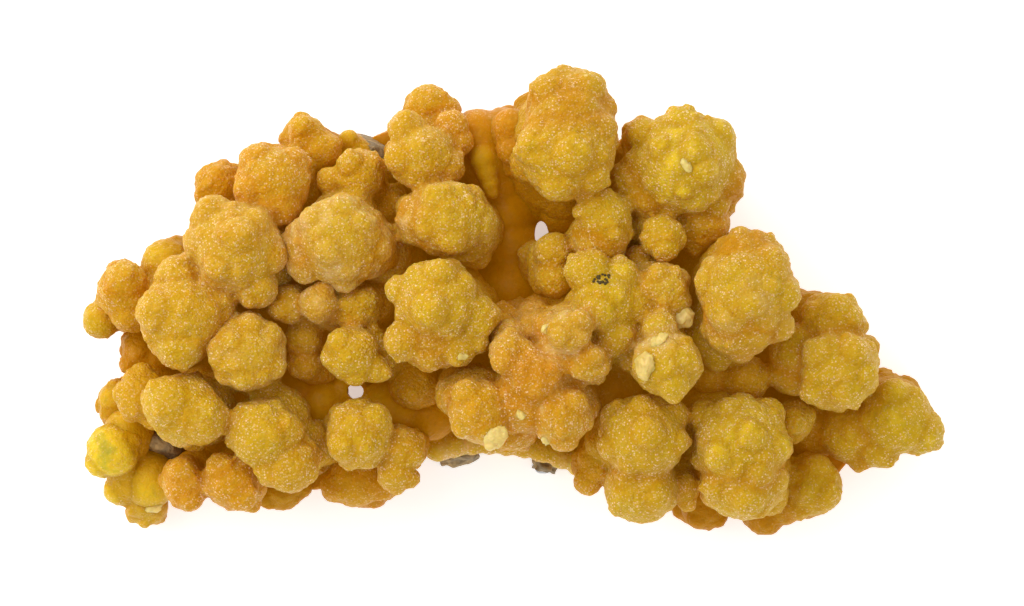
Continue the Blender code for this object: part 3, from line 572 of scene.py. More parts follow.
# Broken, pale crystals, each (x, y, rise, across, up, deep, turn): how far its middle stands out of the
# surface, its half sides, and its turn in degrees.
CHIPS = (
    (10.75, -5.1, -0.35, 0.95, 1.55, 1.0, -8.0),
    (13.7, -1.3, 0.9, 1.5, 1.3, 1.0, 28.0),
    (11.9, -3.1, -0.3, 1.0, 0.6, 0.6, 42.0),
    (-4.3, -4.4, -0.1, 0.55, 0.4, 0.4, 15.0),
    (0.5, -9.2, 0.0, 0.33, 0.6, 0.4, 12.0),
    (2.7, -11.3, -0.1, 0.4, 0.5, 0.4, -20.0),
    (2.7, -2.2, -0.15, 0.5, 0.45, 0.4, 30.0),
    (-30.3, -17.2, 0.1, 1.15, 0.4, 0.5, 22.0),
    (14.1, 11.4, -0.15, 0.45, 0.8, 0.5, 35.0),
)
CHIP_LEAST, CHIP_MOST = 0.72, 1.12
# The flake that hangs in front of the arch: its middle, its half sides and its turn.
FLAKE_PLACE, FLAKE_SIDES, FLAKE_TURN = (-1.5, -11.1), (0.75, 1.2, 0.4), -38.0
FLAKE_SINK = 0.05 * MM
CHIP_BEVEL = 0.06
# How far apart and how deep the breaks in the pale crystals are.
CHIP_BREAKS = (("chipping", 0.7 * MM, 0.45 * MM), ("splinters", 0.22 * MM, 0.1 * MM))
# The crumbs of black crust lie on a broken ring round this place of the clover globe.
CRUMB_PLACE, CRUMB_RING = (7.25, 1.95), (0.62, 0.36)
CRUMB_COUNT = 16
CRUMB_LEAST, CRUMB_MOST = 0.09, 0.17
CRUMB_REACHES = (0.3, 1.25)
CRUMB_GRAIN, CRUMB_RELIEF = 0.2 * MM, 0.12 * MM


def length_property(name, description, default):
    return FloatProperty(
        name=name, description=description, default=default, unit="LENGTH", precision=5
    )


def colour_property(name, description, default):
    return FloatVectorProperty(
        name=name, description=description, subtype="COLOR", size=3, default=default
    )


class CrustSettings(bpy.types.PropertyGroup):
    mesh_size: length_property(
        "Mesh size", "Edge of the faces that a cluster of globes is fused into", 0.255 * MM,
    )
    small_knobs: FloatProperty(
        name="Small knobs",
        description="Small knobs for each 3 square millimetres of a globe's squared radius",
        default=2.4,
    )
    knob_relief: length_property("Knob relief", "Depth of the swellings a knob apart", 0.28 * MM)
    pebble_relief: length_property(
        "Pebble relief", "Depth of the pebbling half a millimetre apart", 0.22 * MM,
    )
    grain_relief: length_property("Grain relief", "Depth of the druse's crystals", 0.12 * MM)
    lemon: colour_property("Lemon", "Colour of the freshest globes", (0.84, 0.58, 0.020))
    gold: colour_property("Gold", "Colour of most globes", (0.62, 0.385, 0.006))
    amber: colour_property("Amber", "Colour of the warm globes", (0.63, 0.33, 0.004))
    orange: colour_property("Orange", "Colour of the warmest globes", (0.65, 0.27, 0.002))
    # Painted shade: the colour mixed into deep places, creases and seams.
    painted_shade_colour: colour_property("Dusk", "Colour of the deep hollows", (0.42, 0.17, 0.001))
    olive: colour_property("Olive", "Colour of the greenest crust", (0.44, 0.38, 0.030))
    # Painted glow: the colour of an emission in deep gaps and creases.
    painted_glow_colour: colour_property(
        "Inner light", "Light that reaches deep gaps through the crust", (0.6, 0.24, 0.0),
    )
    # The pale druse's own colour, laid on heavier towards the flanks as a painted sheen.
    frost: colour_property("Frost", "Colour of the pale druse", (0.72, 0.45, 0.12))
    # Painted glints: the colour of scattered grains standing for crystals that catch the light.
    painted_glint_colour: colour_property("Sparkle", "Colour of the crystals that catch the light", (1.0, 0.76, 0.48))
    glow: length_property("Glow", "How far light travels inside the crust", 1.2 * MM)


class ChipSettings(bpy.types.PropertyGroup):
    pale: colour_property("Pale", "Colour of the broken crystals", (0.70, 0.51, 0.13))
    black: colour_property("Black", "Colour of the crumbs of black crust", (0.05, 0.035, 0.012))


class RockSettings(bpy.types.PropertyGroup):
    grey: colour_property("Grey", "Colour of the rock", (0.30, 0.215, 0.105))
    rust: colour_property("Rust", "Colour of the rock's stains", (0.42, 0.28, 0.11))
    relief: length_property("Relief", "Depth of the rock's broken surface", 0.22 * MM)


class StageSettings(bpy.types.PropertyGroup):
    lens: FloatProperty(
        name="Lens", description="Focal length of the camera, in millimetres", default=250.0,
    )
    view_width: FloatProperty(
        name="View width", description="Width of the picture, at the crust's mid-height",
        default=85.33 * MM, unit="LENGTH",
    )
    floor_colour: colour_property("Floor", "Colour of the floor", (0.93, 0.93, 0.93))
    floor_light: FloatProperty(
        name="Floor light", description="Light that the floor gives, as a light table does",
        default=0.5,
    )
    daylight: FloatProperty(
        name="Daylight", description="Strength of the even light from all round", default=0.75,
    )
    key_power: FloatProperty(
        name="Key light", description="Power of the large light over the upper left, in watts",
        default=0.75,
    )


def place(x, y, z=0.0):
    """A place of the tables, in the frame's metres."""
    return Vector((x, y, z)) * MM + TABLE_SHIFT


def deselect():
    if bpy.context.mode != "OBJECT":
        bpy.ops.object.mode_set(mode="OBJECT")
    bpy.ops.object.select_all(action="DESELECT")


def make_active(obj):
    deselect()
    obj.select_set(True)
    bpy.context.view_layer.objects.active = obj


def apply_modifier(obj, name, kind, **values):
    """Adds a modifier with these values, and applies it."""
    modifier = obj.modifiers.new(name, kind)
    for key, value in values.items():
        setattr(modifier, key, value)
    make_active(obj)
    bpy.ops.object.modifier_apply(modifier=modifier.name)


def object_from(bm, name):
    mesh = bpy.data.meshes.new(name)
    bm.to_mesh(mesh)
    bm.free()
    obj = bpy.data.objects.new(name, mesh)
    bpy.context.scene.collection.objects.link(obj)
    return obj


def ball_template(name, subdivisions):
    """A ball of radius 1 that every ball of its kind is a copy of."""
    deselect()
    bpy.ops.mesh.primitive_ico_sphere_add(subdivisions=subdivisions, radius=1.0)
    ball = bpy.context.object
    ball.name = name
    return ball


def add_ball(bm, template, ball):
    x, y, z, radius = ball
    mesh = template.data.copy()
    mesh.transform(Matrix.Translation(place(x, y, z)) @ Matrix.Scale(radius * MM, 4))
    bm.from_mesh(mesh)
    bpy.data.meshes.remove(mesh)


def coordinates(obj):
    points = np.empty(len(obj.data.vertices) * 3, np.float32)
    obj.data.vertices.foreach_get("co", points)
    return points.reshape(-1, 3).astype(np.float64)


def set_coordinates(obj, points):
    obj.data.vertices.foreach_set("co", points.astype(np.float32).ravel())
    obj.data.update()


def knob_ball(globe, knob):
    """A knob that stands out of its globe by KNOB_RISE of its own radius."""
    x, y, z, radius, _ = globe
    across, up, size = knob
    reach = radius - size * (1.0 - KNOB_RISE)
    rise = math.sqrt(max(0.0, reach * reach - across * across - up * up))
    return x + across, y + up, z + rise, size


def kept_within(value, limit):
    return max(-limit, min(limit, value))


def stack_balls(globe, drawn, aside):
    """The older, knobbly globes that carry a globe, as in the solid."""
    x, y, z, radius, _ = globe
    balls = []
    while z > BASE_CENTRE:
        z = max(z - radius * STACK_STEP, BASE_CENTRE)
        radius = max(radius * STACK_SHRINK, STACK_LEAST)
        turn = drawn.uniform(0.0, 2.0 * math.pi)
        lean = -STACK_LEAN * radius * Vector((x, 2.0 * y)).normalized()
        x += lean.x + STACK_SHIFT * radius * math.cos(turn) + aside[0]
        y += lean.y + STACK_SHIFT * radius * math.sin(turn) + aside[1]
        x = kept_within(x, HALF_LENGTH - STACK_INSET * radius)
        y = kept_within(y, HALF_WIDTH - STACK_INSET * radius)
        balls.append((x, y, z, radius))
        for _ in range(STACK_KNOBS):
            side = drawn.uniform(0.0, 2.0 * math.pi)
            tilt = drawn.uniform(-STACK_KNOB_TILT, STACK_KNOB_TILT)
            way = Vector((math.cos(side), math.sin(side), tilt)).normalized()
            size = radius * drawn.uniform(*STACK_KNOB_SIZES)
            centre = Vector((x, y, z)) + way * (radius - size * (1.0 - KNOB_RISE))
            balls.append((*centre, size))
    return balls


def lobe_balls(name, shown, drawn):
    """Low lobes over the upper side of these balls, each beside the others."""
    rise = LOW_LOBE_RISE if name in LOW_LOBED else LOBE_RISE
    made = []
    for x, y, z, radius in shown:
        for _ in range(int(LOBE_TRIES * radius) if radius > LOBED_LEAST else 0):
            way = Vector([drawn.gauss(0.0, 1.0) for _ in range(3)]).normalized()
            size = min(LOBE_MOST, LOBE_SHARE * radius + drawn.uniform(*LOBE_SIZES))
            if way.z < LOBE_LOWEST or size > LOBE_MOST_SHARE * radius:
                continue
            centre = Vector((x, y, z)) + way * (radius - size * (1.0 - rise))
            apart = [
                (centre - Vector(ball[:3])).length - LOBE_SPACING * (size + ball[3]) for ball in made
            ]
            if min(apart, default=1.0) > 0.0:
                made.append((*centre, size))
    return made


def grown_balls():
    """Under each globe's name, the balls of its display side, those of its stack, and its lobes."""
    drawn, lobe_drawn = random.Random(SEED), random.Random(SEED * 5)
    grown = {}
    for name, globe in GLOBES.items():
        shown = [globe[:4]] + [knob_ball(globe, knob) for knob in globe[4]]
        stack = stack_balls(globe, drawn, STACK_ASIDE.get(name, (0.0, 0.0)))
        smooth = TONES.get(name, USUAL_TONE)[2] > SMOOTH_LIMIT
        grown[name] = (shown, stack, [] if smooth else lobe_balls(name, shown, lobe_drawn))
    return grown


def small_knobs(balls, how_many, drawn):
    """Small knobs scattered over these balls, on their upper side and flanks."""
    made = []
    for x, y, z, radius in balls:
        for _ in range(int(how_many * radius * radius / SMALL_KNOB_AREA)):
            way = Vector([drawn.gauss(0.0, 1.0) for _ in range(3)]).normalized()
            if way.z < SMALL_KNOB_LOWEST:
                continue
            size = drawn.uniform(*SMALL_KNOB_SIZES)
            centre = Vector((x, y, z)) + way * (radius - size * drawn.uniform(*SMALL_KNOB_DEPTHS))
            made.append((*centre, size))
    return made


def lip_points():
    """Places of the lip's beads, on a parabola through its west end, crest and east end."""
    west, crest, east = (Vector(p) for p in (LIP_WEST, LIP_CREST, LIP_EAST))
    for step in range(LIP_BEADS):
        t = step / (LIP_BEADS - 1)
        yield west * (1 - t) * (1 - 2 * t) + crest * 4 * t * (1 - t) + east * t * (2 * t - 1)


def lip_balls():
    return [(p.x, p.y, LIP_HEIGHT, LIP_RADIUS) for p in lip_points()] + [
        (p.x, p.y + 0.4, BASE_CENTRE, LIP_RADIUS) for p in lip_points()
    ]


def lip_tones():
    """The tone of each ball of the lip, in the same order."""
    ends, more, frost, smooth = LIP_TONE
    for step in range(2 * LIP_BEADS):
        along = (step % LIP_BEADS) / (LIP_BEADS - 1)
        yield ends + more * math.sin(math.pi * along), frost, smooth


def relief_texture(name, kind, size):
    """A texture for displacement, whose features are this far apart."""
    made = bpy.data.textures.get(name) or bpy.data.textures.new(name, kind)
    made.noise_scale = size
    return made


def roughen(obj, settings, smooth=1.0):
    """Swells, pebbles and grains the surface, as the druse of tiny crystals does."""
    steps = (
        ("knobs", "CLOUDS", KNOB_SIZE, settings.knob_relief),
        ("pebbles", "CLOUDS", PEBBLE_SIZE, settings.pebble_relief),
        ("grains", "VORONOI", GRAIN_SIZE, -settings.grain_relief),
    )
    for name, kind, size, depth in steps:
        apply_modifier(
            obj, name, "DISPLACE", texture=relief_texture(name, kind, size),
            texture_coords="LOCAL", strength=depth * smooth, mid_level=0.5,
        )


def cut_holes(obj):
    """Keeps the two natural holes open."""
    for x, y, half_width, half_height in THROUGH_HOLES:
        deselect()
        bpy.ops.mesh.primitive_cone_add(
            vertices=HOLE_SIDES, radius1=HOLE_BACK_FLARE, radius2=1.0, depth=HOLE_DEPTH,
            location=place(x, y), scale=(half_width * MM, half_height * MM, 1.0),
        )
        cutter = bpy.context.object
        apply_modifier(
            obj, "hole", "BOOLEAN", operation="DIFFERENCE", solver="MANIFOLD", object=cutter
        )
        bpy.data.objects.remove(cutter)


def keep_in_box(obj, floor):
    """Flattens what stands out of the solid's box, and what is lower than the floor height."""
    points = coordinates(obj)
    low = np.array(CAD_LOW)
    low[2] = floor
    set_coordinates(obj, np.clip(points, low, np.array(CAD_HIGH)))


def signed_distances(points, balls):
    """For each point, in millimetres of the tables, how far it is outside each ball."""
    centres, radii = balls[:, :3], balls[:, 3]
    squared = (
        (points**2).sum(1)[:, None] + (centres**2).sum(1)[None, :] - 2.0 * points @ centres.T
    )
    return np.sqrt(np.maximum(squared, 0.0)) - radii[None, :]


def write_value(obj, name, values):
    layer = obj.data.attributes.new(name, "FLOAT", "POINT")
    layer.data.foreach_set("value", values.astype(np.float32))


def paint_tones(obj, grown, own, with_lip=False):
    """Writes what the material reads: warmth, frost, smoothness, flank, seam, crease and depth; the last
    four place painted shade, sheen, glints and glow.
    """
    points = (coordinates(obj) - np.array(TABLE_SHIFT)) / MM
    drawn = random.Random(SEED + len(own))
    balls, tones, kinds = [], [], []
    for name in own:
        tone = TONES.get(name, USUAL_TONE)
        for kind, group in zip((1, 0, 2), grown[name]):
            for ball in group:
                balls.append(ball)
                kinds.append(kind)
                tones.append((tone[0] + drawn.uniform(-TONE_SPREAD, TONE_SPREAD), *tone[1:]))
    first_of_lip = len(balls)
    if with_lip:
        balls.extend(lip_balls())
        tones.extend(lip_tones())
        kinds.extend([0] * 2 * LIP_BEADS)
    balls, tones, kinds = np.array(balls), np.array(tones), np.array(kinds)
    others = [np.array(grown[name][0]) for name in grown]
    globes = np.array([GLOBES[name][:4] for name in GLOBES])
    made = np.empty((len(points), 7))
    for start in range(0, len(points), PAINT_STEP):
        part = points[start : start + PAINT_STEP]
        row = made[start : start + PAINT_STEP]
        away = signed_distances(part, balls)
        weight = np.exp(-(away - away.min(1)[:, None]) / TONE_BLEND)
        total = weight.sum(1)
        row[:, :3] = weight @ tones / total[:, None]
        # The flank share, low on tops and high on the sides, places painted shade, sheen and glints on
        # the flanks.
        up = (part[:, 2][:, None] - balls[:, 2][None, :]) / (away + balls[:, 3][None, :] + 0.01)
        row[:, 3] = np.clip(1.0 - (weight * up).sum(1) / total, 0.0, 1.0)
        row[:, 4] = 0.0
        # Seams between balls place painted shade.
        for kind, share in SEAM_SHARES:
            if (kinds == kind).sum() > 1:
                nearest = np.partition(away[:, kinds == kind], 1, axis=1)
                between = (nearest[:, 1] - nearest[:, 0]) / SEAM_WIDTH
                seen = np.clip(SEAM_HOLD - nearest[:, 0] / SEAM_REACH, 0.0, 1.0)
                seam = np.exp(-(between**2)) * seen
                row[:, 4] = np.maximum(row[:, 4], share * seam)
        # Creases between globes place painted shade and glow.
        near = np.stack([signed_distances(part, group).min(1) for group in others], 1)
        second = np.partition(near, 1, axis=1)[:, 1]
        row[:, 5] = np.exp(-np.maximum(second, 0.0) / CREASE_WIDTH)
        # Depth under the roof over each point places painted shade and glow.
        flat = np.hypot(
            part[:, 0][:, None] - globes[:, 0][None, :], part[:, 1][:, None] - globes[:, 1][None, :]
        )
        beside = np.maximum(0.0, flat - ROOF_FLAT * globes[:, 3])
        roof = globes[:, 2] + globes[:, 3] - ROOF_SLOPE * beside
        below = roof.max(1) - part[:, 2]
        row[:, 6] = np.clip((below - BRIGHT_DEPTH) / (DARK_DEPTH - BRIGHT_DEPTH), 0.0, 1.0)
        # The lip has less of the painted shade of creases and depth.
        row[:, 5:7] *= 1.0 - (weight[:, first_of_lip:].sum(1) / total)[:, None]
    for x, y, radius, amount in BRUISES:
        near = 1.0 - np.hypot(points[:, 0] - x, points[:, 1] - y) / radius
        pale = np.clip(near * BRUISE_EDGE, 0.0, 1.0) * amount * BRUISE_FROST
        made[:, 1] += pale * (made[:, 6] < BRUISED_DEPTH)
    for column, name in enumerate(PAINTED):
        write_value(obj, name, made[:, column])


class Nodes:
    """A material's node tree, with short calls to add and join nodes."""

    def __init__(self, name):
        self.material = bpy.data.materials.new(name)
        self.material.use_nodes = True
        self.tree = self.material.node_tree
        self.shader = self.tree.nodes["Principled BSDF"]

    def put(self, socket, value):
        if isinstance(value, bpy.types.NodeSocket):
            self.tree.links.new(value, socket)
        else:
            socket.default_value = value

    def add(self, kind, inputs=None, **values):
        node = self.tree.nodes.new(kind)
        for key, value in values.items():
            setattr(node, key, value)
        for key, value in (inputs or {}).items():
            self.put(node.inputs[key], value)
        return node

    def math(self, operation, first, second=0.0, clamp=False):
        node = self.add("ShaderNodeMath", operation=operation, use_clamp=clamp)
        self.put(node.inputs[0], first)
        self.put(node.inputs[1], second)
        return node.outputs[0]

    def mix(self, factor, first, second, blend="MIX"):
        node = self.add("ShaderNodeMix", data_type="RGBA", blend_type=blend)
        self.put(node.inputs["Factor"], factor)
        for key, value in (("A", first), ("B", second)):
            socket = [s for s in node.inputs if s.name == key and s.type == "RGBA"][0]
            self.put(socket, value)
        return [s for s in node.outputs if s.type == "RGBA"][0]

    def value(self, name):
        return self.add("ShaderNodeAttribute", attribute_name=name).outputs["Fac"]

    def place(self):
        return self.add("ShaderNodeTexCoord").outputs["Object"]

    def noise(self, where, scale, detail=3.0):
        return self.add(
            "ShaderNodeTexNoise", {"Vector": where, "Scale": scale, "Detail": detail}
        ).outputs["Fac"]

    def cells(self, where, scale, feature="F1"):
        return self.add("ShaderNodeTexVoronoi", {"Vector": where, "Scale": scale}, feature=feature)

    def steps(self, value, low, high):
        """0 below low, 1 above high, and a smooth rise between."""
        node = self.add(
            "ShaderNodeMapRange", {"Value": value, "From Min": low, "From Max": high},
            interpolation_type="SMOOTHSTEP",
        )
        return node.outputs["Result"]

    def ramp(self, value, stops):
        node = self.add("ShaderNodeValToRGB", {"Fac": value})
        elements = node.color_ramp.elements
        while len(elements) < len(stops):
            elements.new(0.5)
        for element, (position, colour) in zip(elements, stops):
            element.position = position
            element.color = (*colour, 1.0)
        return node.outputs["Color"]


def druse_colour(nodes, settings, where, grains, sugar):
    """Golden crust under pale frost, with painted shade that warms and darkens its creases, seams and
    deep places and warms its flanks, a painted sheen of extra frost on the flanks, and painted glints of
    crystals catching the light.
    """
    depth, crease, seam = nodes.value("depth"), nodes.value("crease"), nodes.value("seam")
    flank, smooth = nodes.value("flank"), nodes.value("smoothness")
    drift = nodes.math("MULTIPLY", nodes.math("SUBTRACT", nodes.noise(where, 420.0), 0.5), 0.5)
    warm = nodes.math("ADD", nodes.value("warmth"), drift)
    # Painted shade: warmer in creases and seams, and on the flanks.
    warm = nodes.math("ADD", warm, nodes.math("MULTIPLY", crease, 0.3))
    warm = nodes.math("ADD", warm, nodes.math("MULTIPLY", seam, 0.22))
    warm = nodes.math("ADD", warm, nodes.math("MULTIPLY", flank, 0.12), clamp=True)
    colour = nodes.ramp(
        warm,
        (
            (0.0, settings.olive), (0.09, settings.lemon), (0.24, settings.gold),
            (0.64, settings.amber), (1.0, settings.orange),
        ),
    )
    # Painted shade: the colour goes towards the shade colour in deep places, creases and seams.
    deep = nodes.math("MULTIPLY", nodes.steps(depth, 0.15, 0.95), 0.8)
    shaded = nodes.math(
        "MAXIMUM", nodes.math("MULTIPLY", crease, 0.45), nodes.math("MULTIPLY", seam, 0.3)
    )
    colour = nodes.mix(nodes.math("MAXIMUM", deep, shaded), colour, (*settings.painted_shade_colour, 1.0))
    shade = nodes.math("MULTIPLY_ADD", grains.outputs["Color"], 0.14)
    shade.node.inputs[2].default_value = 0.93
    colour = nodes.mix(1.0, colour, shade, "MULTIPLY")
    # Frost and glints fade where painted shade lies, in deep places and seams.
    unshaded_share = nodes.math("MULTIPLY", nodes.math("SUBTRACT", 1.0, depth), nodes.math("SUBTRACT", 1.0, seam))
    patches = nodes.steps(nodes.noise(where, 800.0, 4.0), 0.34, 0.72)
    # Painted sheen: the frost is laid on heavier towards the flanks.
    painted_flank_sheen = nodes.math("MULTIPLY_ADD", nodes.steps(flank, 0.12, 0.75), 0.75)
    painted_flank_sheen.node.inputs[2].default_value = 0.3
    frosting = nodes.math("MULTIPLY", nodes.math("MULTIPLY", nodes.value("frosting"), unshaded_share), painted_flank_sheen)
    cover = nodes.math("MULTIPLY_ADD", patches, 0.8)
    cover.node.inputs[2].default_value = 0.25
    frost_and_sheen = nodes.math("MULTIPLY", cover, frosting, clamp=True)
    colour = nodes.mix(frost_and_sheen, colour, (*settings.frost, 1.0))
    # Painted glints: scattered bright grains away from the painted shade, more on the flanks and fewer
    # on smooth globes.
    pick = nodes.add("ShaderNodeSeparateColor", {"Color": sugar.outputs["Color"]}).outputs["Red"]
    painted_glints = nodes.math("POWER", pick, 6.0)
    dots = nodes.steps(sugar.outputs["Distance"], 0.8, 0.35)
    painted_glints = nodes.math("MULTIPLY", nodes.math("MULTIPLY", painted_glints, dots), unshaded_share)
    glint_share = nodes.math("MULTIPLY_ADD", nodes.steps(flank, 0.05, 0.6), 0.9)
    glint_share.node.inputs[2].default_value = 0.6
    glint_share = nodes.math("SUBTRACT", glint_share, nodes.math("MULTIPLY", smooth, 0.6), clamp=True)
    painted_glints = nodes.math("MULTIPLY", painted_glints, glint_share, clamp=True)
    return nodes.mix(painted_glints, colour, (*settings.painted_glint_colour, 1.0))


def druse_material(settings):
    """Waxy, translucent mimetite under a sugar of tiny crystals, with a painted glow in its deep places
    and creases.
    """
    nodes = Nodes("golden_druse")
    where = nodes.place()
    grains = nodes.cells(where, 3300.0)
    sugar = nodes.cells(where, 7400.0)
    shader = nodes.shader
    nodes.put(shader.inputs["Base Color"], druse_colour(nodes, settings, where, grains, sugar))
    smooth = nodes.value("smoothness")
    rough = nodes.math("MULTIPLY_ADD", smooth, -0.16)
    rough.node.inputs[2].default_value = 0.42
    nodes.put(shader.inputs["Roughness"], rough)
    shader.inputs["IOR"].default_value = 1.5
    shader.inputs["Specular IOR Level"].default_value = 0.08
    shader.inputs["Subsurface Weight"].default_value = 0.5
    shader.inputs["Subsurface Radius"].default_value = (1.0, 0.5, 0.1)
    shader.inputs["Subsurface Scale"].default_value = settings.glow
    shader.inputs["Sheen Weight"].default_value = 0.02
    shader.inputs["Sheen Roughness"].default_value = 0.35
    shader.inputs["Sheen Tint"].default_value = (1.0, 0.72, 0.45, 1.0)
    # Painted glow: an emission in deep places and creases, standing in for light that passes through the
    # crust.
    painted_glow_mask = nodes.math(
        "MAXIMUM", nodes.value("depth"), nodes.math("MULTIPLY", nodes.value("crease"), 0.5)
    )
    painted_glow = nodes.mix(
        nodes.steps(painted_glow_mask, 0.1, 0.9), (0.0, 0.0, 0.0, 1.0), (*settings.painted_glow_colour, 1.0)
    )
    nodes.put(shader.inputs["Emission Color"], painted_glow)
    shader.inputs["Emission Strength"].default_value = PAINTED_GLOW_STRENGTH
    height = nodes.math(
        "ADD", nodes.math("MULTIPLY", grains.outputs["Distance"], -1.0),
        nodes.math("MULTIPLY", sugar.outputs["Distance"], -0.55),
    )
    rugged = nodes.math("SUBTRACT", 1.0, nodes.math("MULTIPLY", smooth, 0.8))
    bump = nodes.add(
        "ShaderNodeBump",
        {"Height": height, "Strength": rugged, "Distance": 0.11 * MM},
    )
    nodes.put(shader.inputs["Normal"], bump.outputs["Normal"])
    return nodes.material


def rock_material(settings):
    """Grey-brown rock with rusty stains."""
    nodes = Nodes("stained_rock")
    where = nodes.place()
    stains = nodes.steps(nodes.noise(where, 700.0, 5.0), 0.45, 0.65)
    colour = nodes.mix(stains, (*settings.grey, 1.0), (*settings.rust, 1.0))
    specks = nodes.cells(where, 2600.0)
    shade = nodes.math("MULTIPLY_ADD", specks.outputs["Color"], 0.7)
    shade.node.inputs[2].default_value = 0.6
    colour = nodes.mix(1.0, colour, shade, "MULTIPLY")
    nodes.put(nodes.shader.inputs["Base Color"], colour)
    nodes.shader.inputs["Roughness"].default_value = 0.7
    height = nodes.noise(where, 3500.0, 6.0)
    bump = nodes.add(
        "ShaderNodeBump", {"Height": height, "Strength": 0.9, "Distance": 0.2 * MM}
    )
    nodes.put(nodes.shader.inputs["Normal"], bump.outputs["Normal"])
    return nodes.material


def chip_material(settings):
    """Clear, pale mimetite on a fresh break."""
    nodes = Nodes("pale_crystal")
    where = nodes.place()
    clouds = nodes.steps(nodes.noise(where, 1500.0, 4.0), 0.3, 0.75)
    bright = tuple(min(1.0, value * 1.18 + 0.04) for value in settings.pale)
    colour = nodes.mix(clouds, (*settings.pale, 1.0), (*bright, 1.0))
    shader = nodes.shader
    nodes.put(shader.inputs["Base Color"], colour)
    shader.inputs["Roughness"].default_value = 0.3
    shader.inputs["Subsurface Weight"].default_value = 0.6
    shader.inputs["Subsurface Radius"].default_value = (1.0, 0.7, 0.3)
    shader.inputs["Subsurface Scale"].default_value = 0.8 * MM
    bump = nodes.add(
        "ShaderNodeBump",
        {"Height": nodes.noise(where, 4200.0, 4.0), "Strength": 0.6, "Distance": 0.08 * MM},
    )
    nodes.put(shader.inputs["Normal"], bump.outputs["Normal"])
    return nodes.material


def crumb_material(settings):
    """Dull black oxide."""
    nodes = Nodes("black_crust")
    where = nodes.place()
    rust = tuple(value * 3.0 for value in settings.black)
    colour = nodes.mix(nodes.noise(where, 5000.0), (*settings.black, 1.0), (*rust, 1.0))
    nodes.put(nodes.shader.inputs["Base Color"], colour)
    nodes.shader.inputs["Roughness"].default_value = 0.8
    nodes.shader.inputs["Specular IOR Level"].default_value = 0.1
    return nodes.material


def material_once(name, make, settings):
    return bpy.data.materials.get(name) or make(settings)


def finish_piece(obj, material, slot, *nodes):
    """Gives the piece its material and its place in the frame."""
    obj.data.materials.clear()
    obj.data.materials.append(material)
    obj.data.polygons.foreach_set("use_smooth", [True] * len(obj.data.polygons))
    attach(obj, "root")
    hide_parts(*nodes)


def fused(bm, name, mesh_size):
    """The balls made one skin."""
    obj = object_from(bm, name)
    apply_modifier(obj, "fuse", "REMESH", mode="VOXEL", voxel_size=mesh_size)
    return obj


class SPECIMEN_OT_botryoids(bpy.types.Operator):
    """Grow the clusters of golden globes"""

    bl_idname = "specimen.add_botryoids"
    bl_label = "Botryoids"

    def execute(self, context):
        settings = context.scene.specimen_crust
        grown = grown_balls()
        large, small = ball_template("large_ball", 3), ball_template("small_ball", 2)
        material = material_once("golden_druse", druse_material, settings)
        drawn = random.Random(SEED * 3)
        for cluster, names in CLUSTERS.items():
            bm = bmesh.new()
            hollow = cluster == "hollow_botryoids"
            for name in names:
                shown, stack, lobes = grown[name]
                sunk = LOBE_SINK if lobes else 0.0
                for x, y, z, radius in shown:
                    add_ball(bm, large, (x, y, z, radius - sunk))
                plenty = settings.small_knobs * (1.0 - TONES.get(name, USUAL_TONE)[2])
                for ball in stack + lobes + small_knobs(shown, plenty, drawn):
                    add_ball(bm, small, ball)
            if hollow:
                for ball in lip_balls():
                    add_ball(bm, small, ball)
            obj = fused(bm, cluster, settings.mesh_size)
            roughen(obj, settings, HOLLOW_ROUGHNESS if hollow else 1.0)
            if cluster in HOLED_CLUSTERS:
                cut_holes(obj)
            keep_in_box(obj, CAD_LOW[2] + BACK_CLEARANCE)
            paint_tones(obj, grown, names, with_lip=hollow)
            finish_piece(obj, material, "golden_mimetite", "mimetite")
        for template in (large, small):
            bpy.data.objects.remove(template)
        return {"FINISHED"}


class SPECIMEN_OT_backing(bpy.types.Operator):
    """Add the broken slab of crust behind the globes"""

    bl_idname = "specimen.add_backing"
    bl_label = "Backing"

    def execute(self, context):
        settings = context.scene.specimen_crust
        deselect()
        bpy.ops.mesh.primitive_circle_add(vertices=len(SLAB_OUTLINE), fill_type="NGON")
        slab = bpy.context.object
        slab.name = "backing"
        for vert, (x, y) in zip(slab.data.vertices, SLAB_OUTLINE):
            vert.co = place(x, y, 0.0)
        bpy.ops.object.mode_set(mode="EDIT")
        bpy.ops.mesh.select_all(action="SELECT")
        bpy.ops.mesh.extrude_region_move(TRANSFORM_OT_translate={"value": (0.0, 0.0, SLAB_TOP)})
        bpy.ops.mesh.select_all(action="SELECT")
        bpy.ops.mesh.normals_make_consistent(inside=False)
        bpy.ops.object.mode_set(mode="OBJECT")
        cut_holes(slab)
        apply_modifier(slab, "fuse", "REMESH", mode="VOXEL", voxel_size=BACKING_MESH_SIZE)
        roughen(slab, settings)
        keep_in_box(slab, CAD_LOW[2])
        grown = grown_balls()
        paint_tones(slab, grown, ("south_floor", "hollow_north"))
        material = material_once("golden_druse", druse_material, settings)
        finish_piece(slab, material, "golden_mimetite", "mimetite")
        return {"FINISHED"}


def surface_height(x, y):
    """Height of the crust's display side over this place of the tables."""
    start = place(x, y, 60.0)
    heights = [CAD_LOW[2]]
    for cluster in CLUSTERS:
        hit, spot, _, _ = bpy.data.objects[cluster].ray_cast(start, Vector((0.0, 0.0, -1.0)))
        if hit:
            heights.append(spot.z)
    return max(heights)


def join_pieces(pieces, name):
    """Joins these objects into one, with its place in its mesh."""
    deselect()
    for piece in pieces:
        piece.select_set(True)
    bpy.context.view_layer.objects.active = pieces[0]
    bpy.ops.object.transform_apply(location=True, rotation=True, scale=True)
    bpy.ops.object.join()
    joined = bpy.context.object
    joined.name = name
    return joined


def finish_detail(obj, material):
    """A detail that grew on the crust, and replaces no solid."""
    obj.data.materials.clear()
    obj.data.materials.append(material)
    make_active(obj)
    bpy.ops.object.shade_smooth_by_angle(angle=math.radians(28.0))
    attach(obj, "root")


